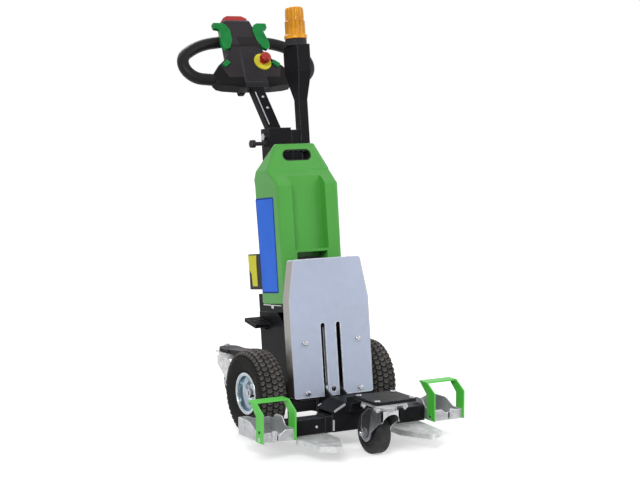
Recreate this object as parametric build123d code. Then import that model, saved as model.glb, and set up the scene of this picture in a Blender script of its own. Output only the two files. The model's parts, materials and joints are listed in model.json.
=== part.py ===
from build123d import *
import math
import os

# Electric tow tractor, walked behind: two driven wheels, a hitch that slides up the front,
# a battery case and tiller on a leaning column, and a castor at each end.
# Millimetres and degrees. The hitch end is -Y, the operator stands at +Y, the floor is z = 0.
# Pieces are drawn with the drive axle at y = 0; MACHINE then centres the whole machine.

# Overall reach from the drive axle
HITCH_REACH = 478.0
REAR_REACH = 574.0
AXLE_Y = (HITCH_REACH - REAR_REACH) / 2
MACHINE = Pos(0, AXLE_Y, 0)

# Lean of the front plate, battery case, column and beacon post
LEAN = 7.0
PLATE_FOOT_Y = -155.2
LEANED = Pos(0, PLATE_FOOT_Y, 0) * Rot(-LEAN, 0, 0)

# Drive wheels
TYRE_RADIUS = 130.0
TYRE_WIDTH = 85.0
TYRE_BEAD_RADIUS = 56.0
TYRE_BEAD_WIDTH = 58.0
TYRE_SHOULDER_RADIUS = 121.0
TYRE_SHOULDER_WIDTH = 74.0
WHEEL_TRACK = 376.0
RIM_FLANGE_RADIUS = 62.0
RIM_FLANGE = 4.0
RIM_WALL = 4.0
RIM_DISC = 5.0
RIM_CONE = 12.0
HUB_RADIUS = 26.0
HUB_IN = 24.0
HUB_OUT = 12.0
SEAT_GAP = 0.1

# Drive unit and its shaft
SHAFT_RADIUS = 12.5
RUNNING_FIT = 0.05
AXLE_TUBE_RADIUS = 22.0
AXLE_TUBE_END = 155.0
GEARBOX_LENGTH = 90.0
GEARBOX_LOW = 94.0
GEARBOX_HIGH = 172.0
MOTOR_RADIUS = 40.0
MOTOR_BACK_GAP = 36.5
GEARBOX_EDGE = 14.0
MOTOR_EDGE = 6.0

# Chassis side plates; depth and height are measured behind and along the leaning front plate
CHASSIS_WIDTH = 120.0
SIDE_PLATE = 6.0
CHASSIS_LOW = 85.0
SIDE_FRONT_TOP = 335.0
SIDE_NOTCH_DEPTH = 172.0
SIDE_NECK_DEPTH = 214.0
COLUMN_FOOT = 375.0
CHASSIS_BACK_LOW = 140.0
CHASSIS_HEEL = 37.5
TAB_MARGIN = 24.0
TAB_HEIGHT = 40.0
TAB_THICK = 5.0
CROSS_DEPTH = (20.0, 70.0)

# Front plate
PLATE_THICK = 4.0
PLATE_WIDTH = 270.0
PLATE_TOP_WIDTH = 228.0
PLATE_LOW = 128.0
PLATE_SHOULDER = 413.0
PLATE_HIGH = 533.0
PLATE_FLANGE = 35.0
PLATE_CORNER = 10.0
PLATE_BOLT_X = 90.0
PLATE_BOLT_HEIGHTS = (142.0, 288.0)
SLOT_X = 26.0
SLOT_WIDTH = 15.0
SLOT_TOP = 343.0
PIN_BORE_RADIUS = 8.5
PIN_BORE_HEIGHT = 148.0

# Lift behind the plate
LIFT_STROKE = 150.0
ROD_RADIUS = 8.0
ROD_X = 40.0
ROD_DEPTH = 45.0
CARRIAGE_LOW = 97.0
CARRIAGE_HIGH = 165.0
CARRIAGE_WIDTH = 100.0
PUSH_ROD_RADIUS = 8.0
PUSH_ROD_ENTRY = 12.0
ACTUATOR_RADIUS = 20.0
ACTUATOR_BORE_GAP = 0.5
ACTUATOR_CAP = 14.0

# Column and tiller pivot
COLUMN_DEPTH = (232.0, 328.0)
COLUMN_WALL = 5.0
COLUMN_TOP = 935.0
COLUMN_EDGE = 3.0
COLUMN_NOTCH_WIDTH = 58.0
COLUMN_SHOULDER = 430.0
COLUMN_HALF = 38.0
COLUMN_DEEP = 58.0
COLUMN_NOTCH_LOW = COLUMN_TOP - 40.0
PIVOT_DEPTH = COLUMN_DEPTH[0] + 29.0
PIVOT_HEIGHT = COLUMN_TOP - 25.0
PIVOT_PIN_RADIUS = 6.0
PIVOT_NUT_RADIUS = 10.0
PIVOT_NUT = 9.0

# Battery case and its tray
CASE_BACK_GAP = 2.0
CASE_DEPTH = (80.0, COLUMN_DEPTH[0] - CASE_BACK_GAP)
CASE_LOW = 400.0
CASE_HALF_LOW = 101.0
CASE_CHEST = 757.0
CASE_HALF_CHEST = 104.0
CASE_SHOULDER = 800.0
CASE_HALF_SHOULDER = 108.0
CASE_SHOULDER_DEPTH = 131.0
CASE_TOP = 880.0
CASE_HALF_TOP = 67.0
CASE_TOP_DEPTH = (145.0, 160.0)
CASE_BACK_SHOULDER = 780.0
CASE_EDGE = 10.0
RECESS_HALF = 57.0
RECESS_DEEP = 28.0
RECESS_LEDGE = 561.0
POCKET_HALF = 52.0
POCKET_DEEP = 48.0
POCKET_LOW = 425.0
POCKET_LEDGE = 8.0
PLUG_SIDE_GAP = 10.0
PLUG_SHARE = 0.77
PLUG_DEEP = 20.0
PLUG_EDGE = 6.0
HANDLE_WIDTH = 98.0
HANDLE_HEIGHT = 34.0
HANDLE_CENTRE = 845.0
TRAY_HALF = 97.0
TRAY_FRONT = 88.0
TRAY_SHEET = 4.0
TRAY_SKIRT = 22.0

# Status box, pedal and beacon on the column
STATUS_HALF = 56.0
STATUS_DEEP = 104.0
STATUS_LOW = 443.0
STATUS_HIGH = 553.0
STATUS_EDGE = 8.0
PEDAL_SIZE = (52.0, 72.0, 12.0)
PEDAL_DEPTH = COLUMN_DEPTH[1] - 36.0
PEDAL_HEIGHT = 344.0
PEDAL_TILT = 16.0
PEDAL_SIDE_GAP = 2.0
PEDAL_STAY = (12.0, 28.0, 22.0)
POST_SIZE = 30.0
POST_X = 69.0
POST_LUG_DROP = 7.0
POST_DEPTH = COLUMN_DEPTH[0] - 4.0
POST_LOW = 800.0
LAMP_X = POST_X + POST_SIZE / 2
LAMP_DEPTH = POST_DEPTH + 23.0
LAMP_BOX = (44.0, 90.0)
LAMP_BOX_LOW = 1020.0
LAMP_BOX_HIGH = 1189.0
LAMP_BOX_NECK = 1105.0
LAMP_BASE_RADIUS = 33.5
LAMP_BASE = 20.0
LAMP_BASE_EDGE = 3.0
LENS_FLANGE_RADIUS = 35.5
LENS_FLANGE = 12.0
LENS_LOW_RADIUS = 31.5
LENS_LOW = 42.0
LENS_HIGH_RADIUS = 29.0
LENS_HIGH = 44.0
LENS_ROUND = 8.0
LENS_STEP = 2.0

# Knob that locks the tiller
KNOB_DEPTH = COLUMN_DEPTH[0] + 25.0
KNOB_HEIGHT = COLUMN_TOP - 46.0
KNOB_STEM_RADIUS = 6.0
KNOB_STEM = 41.0
KNOB_COLLAR_RADIUS = 9.0
KNOB_COLLAR = 12.0
KNOB_RADIUS = 12.0
KNOB_LENGTH = 13.0

# Tiller arm and head; the head has its own frame, w along it and n out of its top face
TILLER_LEAN = 43.0
TILLER_WIDTH = 43.0
TILLER_DEPTH = 27.0
TILLER_LENGTH = 210.0
TILLER_TAIL = 18.0
TILLER_BOSS_RADIUS = 15.0
TILLER_SIDE_GAP = 0.5
TILLER_EDGE = 4.0
HEAD_LEAN = 35.0
HEAD_Y = 307.0
HEAD_Z = 990.0
HEAD_LENGTH = 300.0
HEAD_DEEP = 54.0
HEAD_EDGE = 5.0
HEAD_FOOT = 44.0
HEAD_FOOT_HALF = 56.0
HEAD_LEDGE = 191.0
HEAD_LEDGE_STEP = 6.0
HEAD_LEDGE_RISE = 4.0
HEAD_WING_HALF = 138.0
HEAD_WING_LOW = ((128.0, 54.0), (HEAD_WING_HALF, 66.0))
HEAD_WING_HIGH = ((HEAD_WING_HALF, 94.0), (112.0, 124.0), (84.0, 146.0))
HEAD_WING_DEPTH = (6.0, 40.0)
HEAD_WING_ROOT = 70.0
HEAD_WING_PAST = 10.0
HEAD_WAIST = 176.0
HEAD_WAIST_HALF = 60.0
HEAD_END_HALF = 45.0
HEAD_FOOT_DEPTH = (6.0, 42.0)
HEAD_FOOT_SLOPE = (10.0, 24.0)
HEAD_END_DEPTH = (8.0, 40.0)
HEAD_END_SLOPE = (10.0, 62.0)
HEAD_FRAME = Pos(0, HEAD_Y, HEAD_Z) * Rot(-HEAD_LEAN, 0, 0)
LOOP_RADIUS = 18.5
LOOP_DEPTH = 24.0
LOOP_ROOT = (40.0, 229.0)
LOOP_SHOULDER = (152.0, 213.0)
LOOP_ELBOW = (243.0, 150.0)
LOOP_WRIST = (196.0, 88.0)
LOOP_FOOT = (80.0, 76.0)
LOOP_BENDS = (220.0, 50.0, 56.0)
BUTTON_LENGTH = 17.0
BUTTON_HALF = (44.0, 42.0, 26.0)
BUTTON_SHOULDER = 8.0
BUTTON_DEPTH = (10.0, 38.0)
BUTTON_EDGE = 4.0
STOP_X = 41.0
STOP_W = 131.0
STOP_RING_RADIUS = 29.0
STOP_RING = 6.0
STOP_STEM_RADIUS = 11.0
STOP_STEM = 14.0
STOP_CAP_RADIUS = 17.0
STOP_CAP = 18.0
STOP_CAP_EDGE = 6.0
LEVER_THICK = 13.0
LEVER_RISE = 1.0
LEVER_ROUND = 4.0
LEVER_EDGE = (
    (44.0, 212.0), (59.0, 183.0), (72.0, 178.0), (83.0, 186.0), (85.0, 206.0), (79.0, 238.0), (77.0, 254.0),
    (94.0, 257.0), (95.0, 277.0), (62.0, 277.0), (50.0, 271.0), (41.0, 252.0),
)
SIDE_KEY = (25.0, 15.0, 5.0)
SIDE_KEY_X = 88.0
SIDE_KEY_W = 126.0
SIDE_KEY_TURN = 38.0

# Rear arm
REAR_ARM_HALF = 30.0
REAR_ARM_PLATE = 12.0
REAR_SWIVEL_Y = REAR_REACH - 36.0
REAR_BEAM_FOOT = (14.0, 98.0)
REAR_BEAM_END = 30.0
REAR_BEAM_FLAT = 70.0
REAR_PLATE_FRONT = 48.0
REAR_ARM_END_HALF = 34.0

# Castors
CASTOR_WHEEL_RADIUS = 62.5
CASTOR_WHEEL_WIDTH = 40.0
CASTOR_TRAIL = 53.0
CASTOR_CORE_RADIUS = 43.0
CASTOR_HUB_RADIUS = 15.0
CASTOR_AXLE_RADIUS = 6.0
CASTOR_FORK_GAP = 50.0
CASTOR_SHEET = 4.0
CASTOR_CROWN_LOW = 133.0
CASTOR_RACE_RADIUS = 36.0
CASTOR_RACE_LOW = 145.0
CASTOR_RACE_GAP = 0.3
CASTOR_PLATE_LOW = 151.0
CASTOR_TOP = 155.0
FRONT_CASTOR_PLATE = (105.0, 85.0, 8.0)
REAR_CASTOR_PLATE = (84.0, 72.0, 16.0)
CASTOR_BOSS_RADIUS = 14.0
CASTOR_BOSS = 3.0
CASTOR_LEG_LEAD = 35.0
CASTOR_LEG_BACK = 38.0
CASTOR_LEG_SHOULDER = (21.0, 110.0)
CASTOR_LOBE_RADIUS = 26.0
CASTOR_LEG_DEEP = 30.0
CASTOR_LEG_HOLLOW = 7.0
CASTOR_CROWN_HALF = 30.0
CASTOR_TYRE_ROUND = 7.0
CASTOR_CORE_INSET = 3.0
KINGPIN_RADIUS = 6.0

# Hitch
ARM_THICK = 5.0
ARM_CARRIAGE_EDGE = (3.0, 5.0)
ARM_HOUSE_EDGE = (10.0, 8.0)
HOUSE_FRONT_Y = -271.0
HOUSE_BACK_Y = -182.0
HOUSE_PLATE = 6.0
HOUSE_HALF = 84.0
HOUSE_EAVE = 112.0
HOUSE_TOP_HALF = 40.0
HOUSE_TOP = 134.0
HOUSE_ROOF = 5.0
HITCH_LOW = 51.0
BAR_SIZE = 45.0
BAR_WALL = 4.0
SLEEVE = 3.0
SLEEVE_REACH = 107.0
FORK_SHEET = 4.0
FORK_LIP = 16.0
FORK_INNER = 102.0
FORK_OUTER = 213.0
FORK_SIDE_LENGTH = 68.0
FORK_TOE_OUTER = (202.0, 184.0)
FORK_TOE_INNER = (150.0, 217.0)
FORK_HEEL = 120.0
FORK_CORNER = 6.0
PAD_WIDTH = 134.0
PAD_LENGTH = 122.0
PAD_TOP = 173.0
PAD_THICK = 10.0
PAD_CORNER = 8.0
NECK_HALF = 38.0
NECK_LAP = 10.0
NECK_RISE = 15.0
NECK_DROP = 3.0
NECK_DEEP = 6.0
NECK_KNEE = (29.0, 1.0)
NECK_FOOT = (19.0, 24.0)
FRONT_SWIVEL_Y = -HITCH_REACH + 66.0

# Castor grippers and their green hoops
HOOP_OUTER = 337.0
HOOP_INNER = 230.0
HOOP_STRIP = 4.0
HOOP_WIDTH = 39.0
HOOP_LEG_Y = -302.0
HOOP_LEG_LOW = 56.0
HOOP_BEND = 133.0
HOOP_TOP_Y = -260.0
HOOP_TOP = 166.0
HOOP_SKEW = 5.0
TRAY_WALL = 3.0
GRIP_FRONT_Y = -314.0
GRIP_BACK_Y = -169.0
GRIP_LOW = 55.0
GRIP_HIGH = 57.0
GRIP_ROUND = 14.0

# Top edges of the gripper's walls: share of the wall's length, share of the full height
GRIP_OUTER_TOP = ((0, 0.51), (0.29, 0.51), (0.57, 0.86), (1, 0.86))
GRIP_INNER_TOP = ((0, 0.58), (0.32, 0.58), (0.46, 1.0), (0.70, 1.0), (0.81, 0.72), (1, 0.72))
GRIP_FRONT_TOP = ((0, 0.58), (0.28, 0.58), (0.44, 0.33), (0.64, 0.51), (1, 0.51))
GRIP_BACK_TOP = ((0, 0.72), (0.50, 0.72), (0.70, 0.86), (1, 0.86))

SIDES = (("left", -1), ("right", 1))


def lean_point(depth, height):
    """The (y, z) of a point given by its depth behind the front plate and height along the lean."""
    tilt = math.radians(LEAN)
    y = PLATE_FOOT_Y + depth * math.cos(tilt) + height * math.sin(tilt)
    return y, height * math.cos(tilt) - depth * math.sin(tilt)


def outline(points, radius=0):
    """A flat face from corner points, all corners rounded by one radius."""
    face = make_face(Polyline(*points, close=True))
    return fillet(face.vertices(), radius) if radius else face


def along_x(face, low, high):
    """A face drawn in (y, z), as a solid from x = low to x = high."""
    return Pos(low, 0, 0) * extrude(Plane.YZ * face, high - low, dir=(1, 0, 0))


def along_y(face, low, high):
    """A face drawn in (x, z), as a solid from y = low to y = high."""
    return Pos(0, low, 0) * extrude(Plane.XZ * face, high - low, dir=(0, 1, 0))


def along_z(face, low, high):
    """A face drawn in (x, y), as a solid from z = low to z = high."""
    return Pos(0, 0, low) * extrude(face, high - low, dir=(0, 0, 1))


def block(x, y, z):
    """A box from its (low, high) pairs along x, y and z."""
    middle = [(low + high) / 2 for low, high in (x, y, z)]
    return Pos(*middle) * Box(x[1] - x[0], y[1] - y[0], z[1] - z[0])


def rod(start, end, radius):
    """A round bar between two points."""
    span = Vector(*end) - Vector(*start)
    return Plane(origin=start, z_dir=span) * Cylinder(
        radius, span.length, align=(Align.CENTER, Align.CENTER, Align.MIN))


def ring_x(profile, x=0, z=0):
    """A closed (radius, x) outline turned about an X axis at height z."""
    face = make_face(profile)
    turned = revolve(Plane.XZ * face, axis=Axis.X)
    return Pos(x, 0, z) * turned


def both_sides(shape):
    """A shape and its mirror image in the machine's middle plane, in one solid list."""
    return shape + mirror(shape, about=Plane.YZ)


def mirrored(points):
    """Outline corners for x >= 0, closed by their mirror image."""
    return list(points) + [(-x, z) for x, z in reversed(points)]


def drive_tyre():
    """Tyre section: bead, bulging side wall and rounded crown, turned about the axle."""
    bead, half_bead = TYRE_BEAD_RADIUS, TYRE_BEAD_WIDTH / 2
    shoulder, half_shoulder = TYRE_SHOULDER_RADIUS, TYRE_SHOULDER_WIDTH / 2
    belly = (bead + shoulder) / 2 + 6
    lip = RIM_FLANGE_RADIUS + 2
    section = [
        Polyline((-half_bead, lip), (-half_bead, bead), (half_bead, bead), (half_bead, lip)),
        ThreePointArc((half_bead, lip), (TYRE_WIDTH / 2, belly), (half_shoulder, shoulder)),
        ThreePointArc((half_shoulder, shoulder), (0, TYRE_RADIUS), (-half_shoulder, shoulder)),
        ThreePointArc((-half_shoulder, shoulder), (-TYRE_WIDTH / 2, belly), (-half_bead, lip)),
    ]
    return ring_x(section)


def drive_rim():
    """Deep rim: barrel with two flanges, a dished disc near the middle and a hub on the shaft."""
    barrel = TYRE_BEAD_RADIUS - SEAT_GAP
    inner = barrel - RIM_WALL
    lip = TYRE_BEAD_WIDTH / 2 + SEAT_GAP
    edge = lip + RIM_FLANGE
    bore = SHAFT_RADIUS + RUNNING_FIT
    points = [
        (-edge, inner), (-edge, RIM_FLANGE_RADIUS), (-lip, RIM_FLANGE_RADIUS), (-lip, barrel),
        (lip, barrel), (lip, RIM_FLANGE_RADIUS), (edge, RIM_FLANGE_RADIUS), (edge, inner),
        (RIM_DISC + RIM_CONE, inner), (RIM_DISC, inner - RIM_CONE), (RIM_DISC, HUB_RADIUS),
        (HUB_OUT, HUB_RADIUS), (HUB_OUT, bore), (-HUB_IN, bore), (-HUB_IN, HUB_RADIUS),
        (0, HUB_RADIUS), (0, inner - RIM_CONE), (RIM_CONE, inner),
    ]
    return ring_x(Polyline(*points, close=True))


def drive_unit():
    """Gearbox between the side plates with its motor behind it, axle tubes and wheel shafts."""
    inner = CHASSIS_WIDTH / 2 - SIDE_PLATE
    half = GEARBOX_LENGTH / 2
    gearbox = block((-inner, inner), (-half, half), (GEARBOX_LOW, GEARBOX_HIGH))
    gearbox = fillet(gearbox.edges().filter_by(Axis.X), GEARBOX_EDGE)
    motor_z = (GEARBOX_LOW + GEARBOX_HIGH) / 2
    motor_end = lean_point(COLUMN_DEPTH[1] - SIDE_PLATE, CHASSIS_BACK_LOW)[0] - MOTOR_BACK_GAP
    motor = rod((0, 0, motor_z), (0, motor_end, motor_z), MOTOR_RADIUS)
    motor = chamfer(motor.edges().group_by(Axis.Y)[-1], MOTOR_EDGE)
    end = AXLE_TUBE_END
    tubes = rod((-end, 0, TYRE_RADIUS), (end, 0, TYRE_RADIUS), AXLE_TUBE_RADIUS)
    reach = WHEEL_TRACK / 2 + HUB_OUT
    shaft = rod((-reach, 0, TYRE_RADIUS), (reach, 0, TYRE_RADIUS), SHAFT_RADIUS)
    return gearbox + motor + tubes + shaft


def chassis_frame():
    """Two side plates joined by a back wall, a floor and the lift's cross plates, with bolt tabs in front."""
    outer = CHASSIS_WIDTH / 2
    inner = outer - SIDE_PLATE
    back = COLUMN_DEPTH[1]
    heel_y = lean_point(back, CHASSIS_BACK_LOW)[0] - CHASSIS_HEEL
    corners = [
        lean_point(PLATE_THICK, CHASSIS_LOW), lean_point(PLATE_THICK, SIDE_FRONT_TOP),
        lean_point(SIDE_NOTCH_DEPTH, SIDE_FRONT_TOP), lean_point(SIDE_NECK_DEPTH, COLUMN_FOOT),
        lean_point(back, COLUMN_FOOT), lean_point(back, CHASSIS_BACK_LOW),
        (heel_y, CHASSIS_LOW),
    ]
    side = along_x(outline(corners), inner, outer)
    side -= rod((0, 0, TYRE_RADIUS), (2 * outer, 0, TYRE_RADIUS), AXLE_TUBE_RADIUS + RUNNING_FIT)
    frame = both_sides(side)
    frame += LEANED * block((-inner, inner), (back - SIDE_PLATE, back), (CHASSIS_BACK_LOW, COLUMN_FOOT))
    frame += block((-inner, inner), (GEARBOX_LENGTH / 2, heel_y), (CHASSIS_LOW, CHASSIS_LOW + SIDE_PLATE))
    rod_bore = PUSH_ROD_RADIUS + ACTUATOR_BORE_GAP
    for low, bore in ((CHASSIS_LOW, 0), (SIDE_FRONT_TOP - SIDE_PLATE, rod_bore)):
        plate = block((-inner, inner), CROSS_DEPTH, (low, low + SIDE_PLATE))
        for x in (-ROD_X, ROD_X):
            plate -= Pos(x, ROD_DEPTH, low) * Cylinder(ROD_RADIUS + RUNNING_FIT, 4 * SIDE_PLATE)
        if bore:
            plate -= Pos(0, ROD_DEPTH, low) * Cylinder(bore, 4 * SIDE_PLATE)
        frame += LEANED * plate
    for height in PLATE_BOLT_HEIGHTS:
        tab = block((outer, PLATE_BOLT_X + TAB_MARGIN), (PLATE_THICK, PLATE_THICK + TAB_THICK),
                    (height - TAB_HEIGHT / 2, height + TAB_HEIGHT / 2))
        frame += LEANED * both_sides(tab)
    return frame


def front_plate():
    """Zinc-plated plate with folded side flanges, two slots for the hitch arms and a tongue with a pin bore."""
    half, top_half = PLATE_WIDTH / 2, PLATE_TOP_WIDTH / 2
    rim = [(half, PLATE_LOW), (half, PLATE_SHOULDER), (top_half, PLATE_HIGH)]
    plate = along_y(outline(mirrored(rim), PLATE_CORNER), 0, PLATE_FLANGE)
    past = PLATE_FLANGE
    taper = (half - top_half) / (PLATE_HIGH - PLATE_SHOULDER)
    hollow = [
        (half - PLATE_THICK, PLATE_LOW - past), (half - PLATE_THICK, PLATE_SHOULDER),
        (top_half - PLATE_THICK - taper * past, PLATE_HIGH + past),
    ]
    plate -= along_y(outline(mirrored(hollow)), PLATE_THICK, 2 * PLATE_FLANGE)
    end = SLOT_TOP - SLOT_WIDTH / 2
    edge = SLOT_WIDTH / 2
    through = (-PLATE_THICK, 2 * PLATE_THICK)
    slot = block((SLOT_X - edge, SLOT_X + edge), through, (0, end))
    slot += rod((SLOT_X, through[0], end), (SLOT_X, through[1], end), edge)
    plate -= both_sides(slot)
    plate -= rod((0, through[0], PIN_BORE_HEIGHT), (0, through[1], PIN_BORE_HEIGHT), PIN_BORE_RADIUS)
    return LEANED * plate


def guide_rods():
    """Two rods that the lift carriage slides on, held in the chassis cross plates."""
    bars = rod((ROD_X, ROD_DEPTH, CHASSIS_LOW), (ROD_X, ROD_DEPTH, SIDE_FRONT_TOP), ROD_RADIUS)
    return LEANED * both_sides(bars)


def lift_actuator():
    """Tube that takes the push rod, standing on the upper cross plate."""
    bore = PUSH_ROD_RADIUS + ACTUATOR_BORE_GAP
    top = SIDE_FRONT_TOP + LIFT_STROKE + 2 * PUSH_ROD_ENTRY
    tube = rod((0, ROD_DEPTH, SIDE_FRONT_TOP), (0, ROD_DEPTH, top + ACTUATOR_CAP), ACTUATOR_RADIUS)
    tube -= rod((0, ROD_DEPTH, SIDE_FRONT_TOP), (0, ROD_DEPTH, top), bore)
    return LEANED * tube


def lift_carriage():
    """Block on the guide rods that carries the hitch arms, with the actuator's push rod on top."""
    half = CARRIAGE_WIDTH / 2
    body = block((-half, half), CROSS_DEPTH, (CARRIAGE_LOW, CARRIAGE_HIGH))
    bore = ROD_RADIUS + RUNNING_FIT
    for x in (-ROD_X, ROD_X):
        body -= rod((x, ROD_DEPTH, CHASSIS_LOW), (x, ROD_DEPTH, SIDE_FRONT_TOP), bore)
    rod_top = SIDE_FRONT_TOP + PUSH_ROD_ENTRY
    body += rod((0, ROD_DEPTH, CARRIAGE_HIGH), (0, ROD_DEPTH, rod_top), PUSH_ROD_RADIUS)
    return LEANED * body


def column():
    """Rectangular tube on a wider foot, open at the top, its back wall notched for the tiller."""
    outer = CHASSIS_WIDTH / 2
    inner = outer - COLUMN_WALL
    front, back = COLUMN_DEPTH
    foot = block((-outer, outer), (front, back), (COLUMN_FOOT, COLUMN_SHOULDER))
    foot = fillet(foot.edges().filter_by(Axis.Z), COLUMN_EDGE)
    foot -= block((-inner, inner), (front + COLUMN_WALL, back - COLUMN_WALL),
                  (COLUMN_FOOT, COLUMN_SHOULDER - COLUMN_WALL))
    half, deep = COLUMN_HALF, front + COLUMN_DEEP
    tube = block((-half, half), (front, deep), (COLUMN_SHOULDER, COLUMN_TOP))
    tube = fillet(tube.edges().filter_by(Axis.Z), COLUMN_EDGE)
    tube -= block((COLUMN_WALL - half, half - COLUMN_WALL), (front + COLUMN_WALL, deep - COLUMN_WALL),
                  (COLUMN_SHOULDER, COLUMN_TOP))
    notch = COLUMN_NOTCH_WIDTH / 2
    tube -= block((-notch, notch), (deep - 2 * COLUMN_WALL, deep), (COLUMN_NOTCH_LOW, COLUMN_TOP))
    hole = PIVOT_PIN_RADIUS + RUNNING_FIT
    tube -= rod((-half, PIVOT_DEPTH, PIVOT_HEIGHT), (half, PIVOT_DEPTH, PIVOT_HEIGHT), hole)
    return LEANED * (foot + tube)


def battery_case():
    """Moulded case: a side outline crossed with a front outline, a front recess, a pocket and a hand slot."""
    front, back = CASE_DEPTH
    side = [
        (front, CASE_LOW), (front, CASE_CHEST), (CASE_SHOULDER_DEPTH, CASE_SHOULDER),
        (CASE_TOP_DEPTH[0], CASE_TOP), (CASE_TOP_DEPTH[1], CASE_TOP),
        (back, CASE_BACK_SHOULDER), (back, CASE_LOW),
    ]
    face = [
        (CASE_HALF_LOW, CASE_LOW), (CASE_HALF_CHEST, CASE_CHEST),
        (CASE_HALF_SHOULDER, CASE_SHOULDER), (CASE_HALF_TOP, CASE_TOP),
    ]
    wide = 2 * CASE_HALF_SHOULDER
    case = along_x(outline(side), -wide, wide) & along_y(outline(mirrored(face)), 0, wide + back)
    case = fillet(case.edges(), CASE_EDGE)
    case -= block((-RECESS_HALF, RECESS_HALF), (0, front + RECESS_DEEP), (RECESS_LEDGE, CASE_TOP))
    pocket_top = RECESS_LEDGE - POCKET_LEDGE
    case -= block((-POCKET_HALF, POCKET_HALF), (0, front + POCKET_DEEP), (POCKET_LOW, pocket_top))
    grip = (HANDLE_WIDTH - HANDLE_HEIGHT) / 2
    half = HANDLE_HEIGHT / 2
    slot = block((-grip, grip), (0, 2 * back), (HANDLE_CENTRE - half, HANDLE_CENTRE + half))
    for x in (-grip, grip):
        slot += rod((x, 0, HANDLE_CENTRE), (x, 2 * back, HANDLE_CENTRE), half)
    return LEANED * (case - slot)


def case_connector():
    """Black plug block in the case's front pocket."""
    deep = CASE_DEPTH[0] + POCKET_DEEP
    half = POCKET_HALF - PLUG_SIDE_GAP
    room = RECESS_LEDGE - POCKET_LEDGE - POCKET_LOW
    low = POCKET_LOW + room * (1 - PLUG_SHARE) / 2
    body = block((-half, half), (deep - PLUG_DEEP, deep), (low, low + room * PLUG_SHARE))
    return LEANED * fillet(body.edges().filter_by(Axis.Y), PLUG_EDGE)


def battery_tray():
    """Folded shelf under the case, with a skirt, fixed to the column's front."""
    back = COLUMN_DEPTH[0]
    tray = block((-TRAY_HALF, TRAY_HALF), (TRAY_FRONT, back), (CASE_LOW - TRAY_SKIRT, CASE_LOW))
    inner = TRAY_HALF - TRAY_SHEET
    tray -= block((-inner, inner), (TRAY_FRONT + TRAY_SHEET, back), (0, CASE_LOW - TRAY_SHEET))
    return LEANED * tray


def status_box():
    """Rounded box on the back of the column."""
    back = COLUMN_DEPTH[0] + COLUMN_DEEP
    box = block((-STATUS_HALF, STATUS_HALF), (back, back + STATUS_DEEP), (STATUS_LOW, STATUS_HIGH))
    rounded = box.edges().filter_by(Axis.X) + box.edges().filter_by(Axis.Z).sort_by(Axis.Y)[2:]
    return LEANED * fillet(rounded, STATUS_EDGE)


def foot_pedal():
    """Tilted foot plate on a bracket at the column's left side."""
    width, length, thick = PEDAL_SIZE
    side = -CHASSIS_WIDTH / 2
    place = Pos(side - width / 2 - PEDAL_SIDE_GAP, PEDAL_DEPTH, PEDAL_HEIGHT) * Rot(PEDAL_TILT, 0, 0)
    plate = place * Box(width, length, thick)
    wide, deep, high = PEDAL_STAY
    stay = block((side - wide, side), (PEDAL_DEPTH - deep / 2, PEDAL_DEPTH + deep / 2),
                 (PEDAL_HEIGHT - high, PEDAL_HEIGHT))
    return LEANED * (plate + stay)


def beacon_post():
    """Slim post on a lug at the column's right side that widens over a tapered neck into the lamp box."""
    post_back = POST_DEPTH + POST_SIZE
    post = block((POST_X, POST_X + POST_SIZE), (POST_DEPTH, post_back), (POST_LOW, LAMP_BOX_LOW))
    post += block((COLUMN_HALF, POST_X), (COLUMN_DEPTH[0], post_back), (POST_LOW, COLUMN_TOP - POST_LUG_DROP))
    half_x, half_y = LAMP_BOX[0] / 2, LAMP_BOX[1] / 2
    front, back = LAMP_DEPTH - half_y, LAMP_DEPTH + half_y
    side = [
        (POST_DEPTH, LAMP_BOX_LOW), (front, LAMP_BOX_NECK), (front, LAMP_BOX_HIGH), (back, LAMP_BOX_HIGH),
        (back, LAMP_BOX_NECK), (post_back, LAMP_BOX_LOW),
    ]
    near, far = LAMP_X - half_x, LAMP_X + half_x
    face = [
        (POST_X, LAMP_BOX_LOW), (near, LAMP_BOX_NECK), (near, LAMP_BOX_HIGH), (far, LAMP_BOX_HIGH),
        (far, LAMP_BOX_NECK), (POST_X + POST_SIZE, LAMP_BOX_LOW),
    ]
    box = along_x(outline(side), near, far) & along_y(outline(face), front, back)
    return LEANED * (box + post)


def beacon_base():
    """Round foot of the lamp."""
    top = LAMP_BOX_HIGH + LAMP_BASE
    foot = rod((LAMP_X, LAMP_DEPTH, LAMP_BOX_HIGH), (LAMP_X, LAMP_DEPTH, top), LAMP_BASE_RADIUS)
    return LEANED * chamfer(foot.edges().group_by(Axis.Z)[-1], LAMP_BASE_EDGE)


def beacon_lens():
    """Two-tiered lens with a bottom flange, turned about the lamp's axis."""
    low = LAMP_BOX_HIGH + LAMP_BASE
    tier = low + LENS_FLANGE
    upper = tier + LENS_LOW
    top = upper + LENS_HIGH
    section = Polyline(
        (0, low), (LENS_FLANGE_RADIUS, low), (LENS_FLANGE_RADIUS, tier), (LENS_LOW_RADIUS, tier + LENS_STEP),
        (LENS_LOW_RADIUS, upper), (LENS_HIGH_RADIUS, upper + LENS_STEP),
        (LENS_HIGH_RADIUS, top - LENS_ROUND),
        (LENS_HIGH_RADIUS - LENS_ROUND, top), (0, top), close=True)
    lens = revolve(Plane.XZ * make_face(section), axis=Axis.Z)
    return LEANED * Pos(LAMP_X, LAMP_DEPTH, 0) * lens


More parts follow.
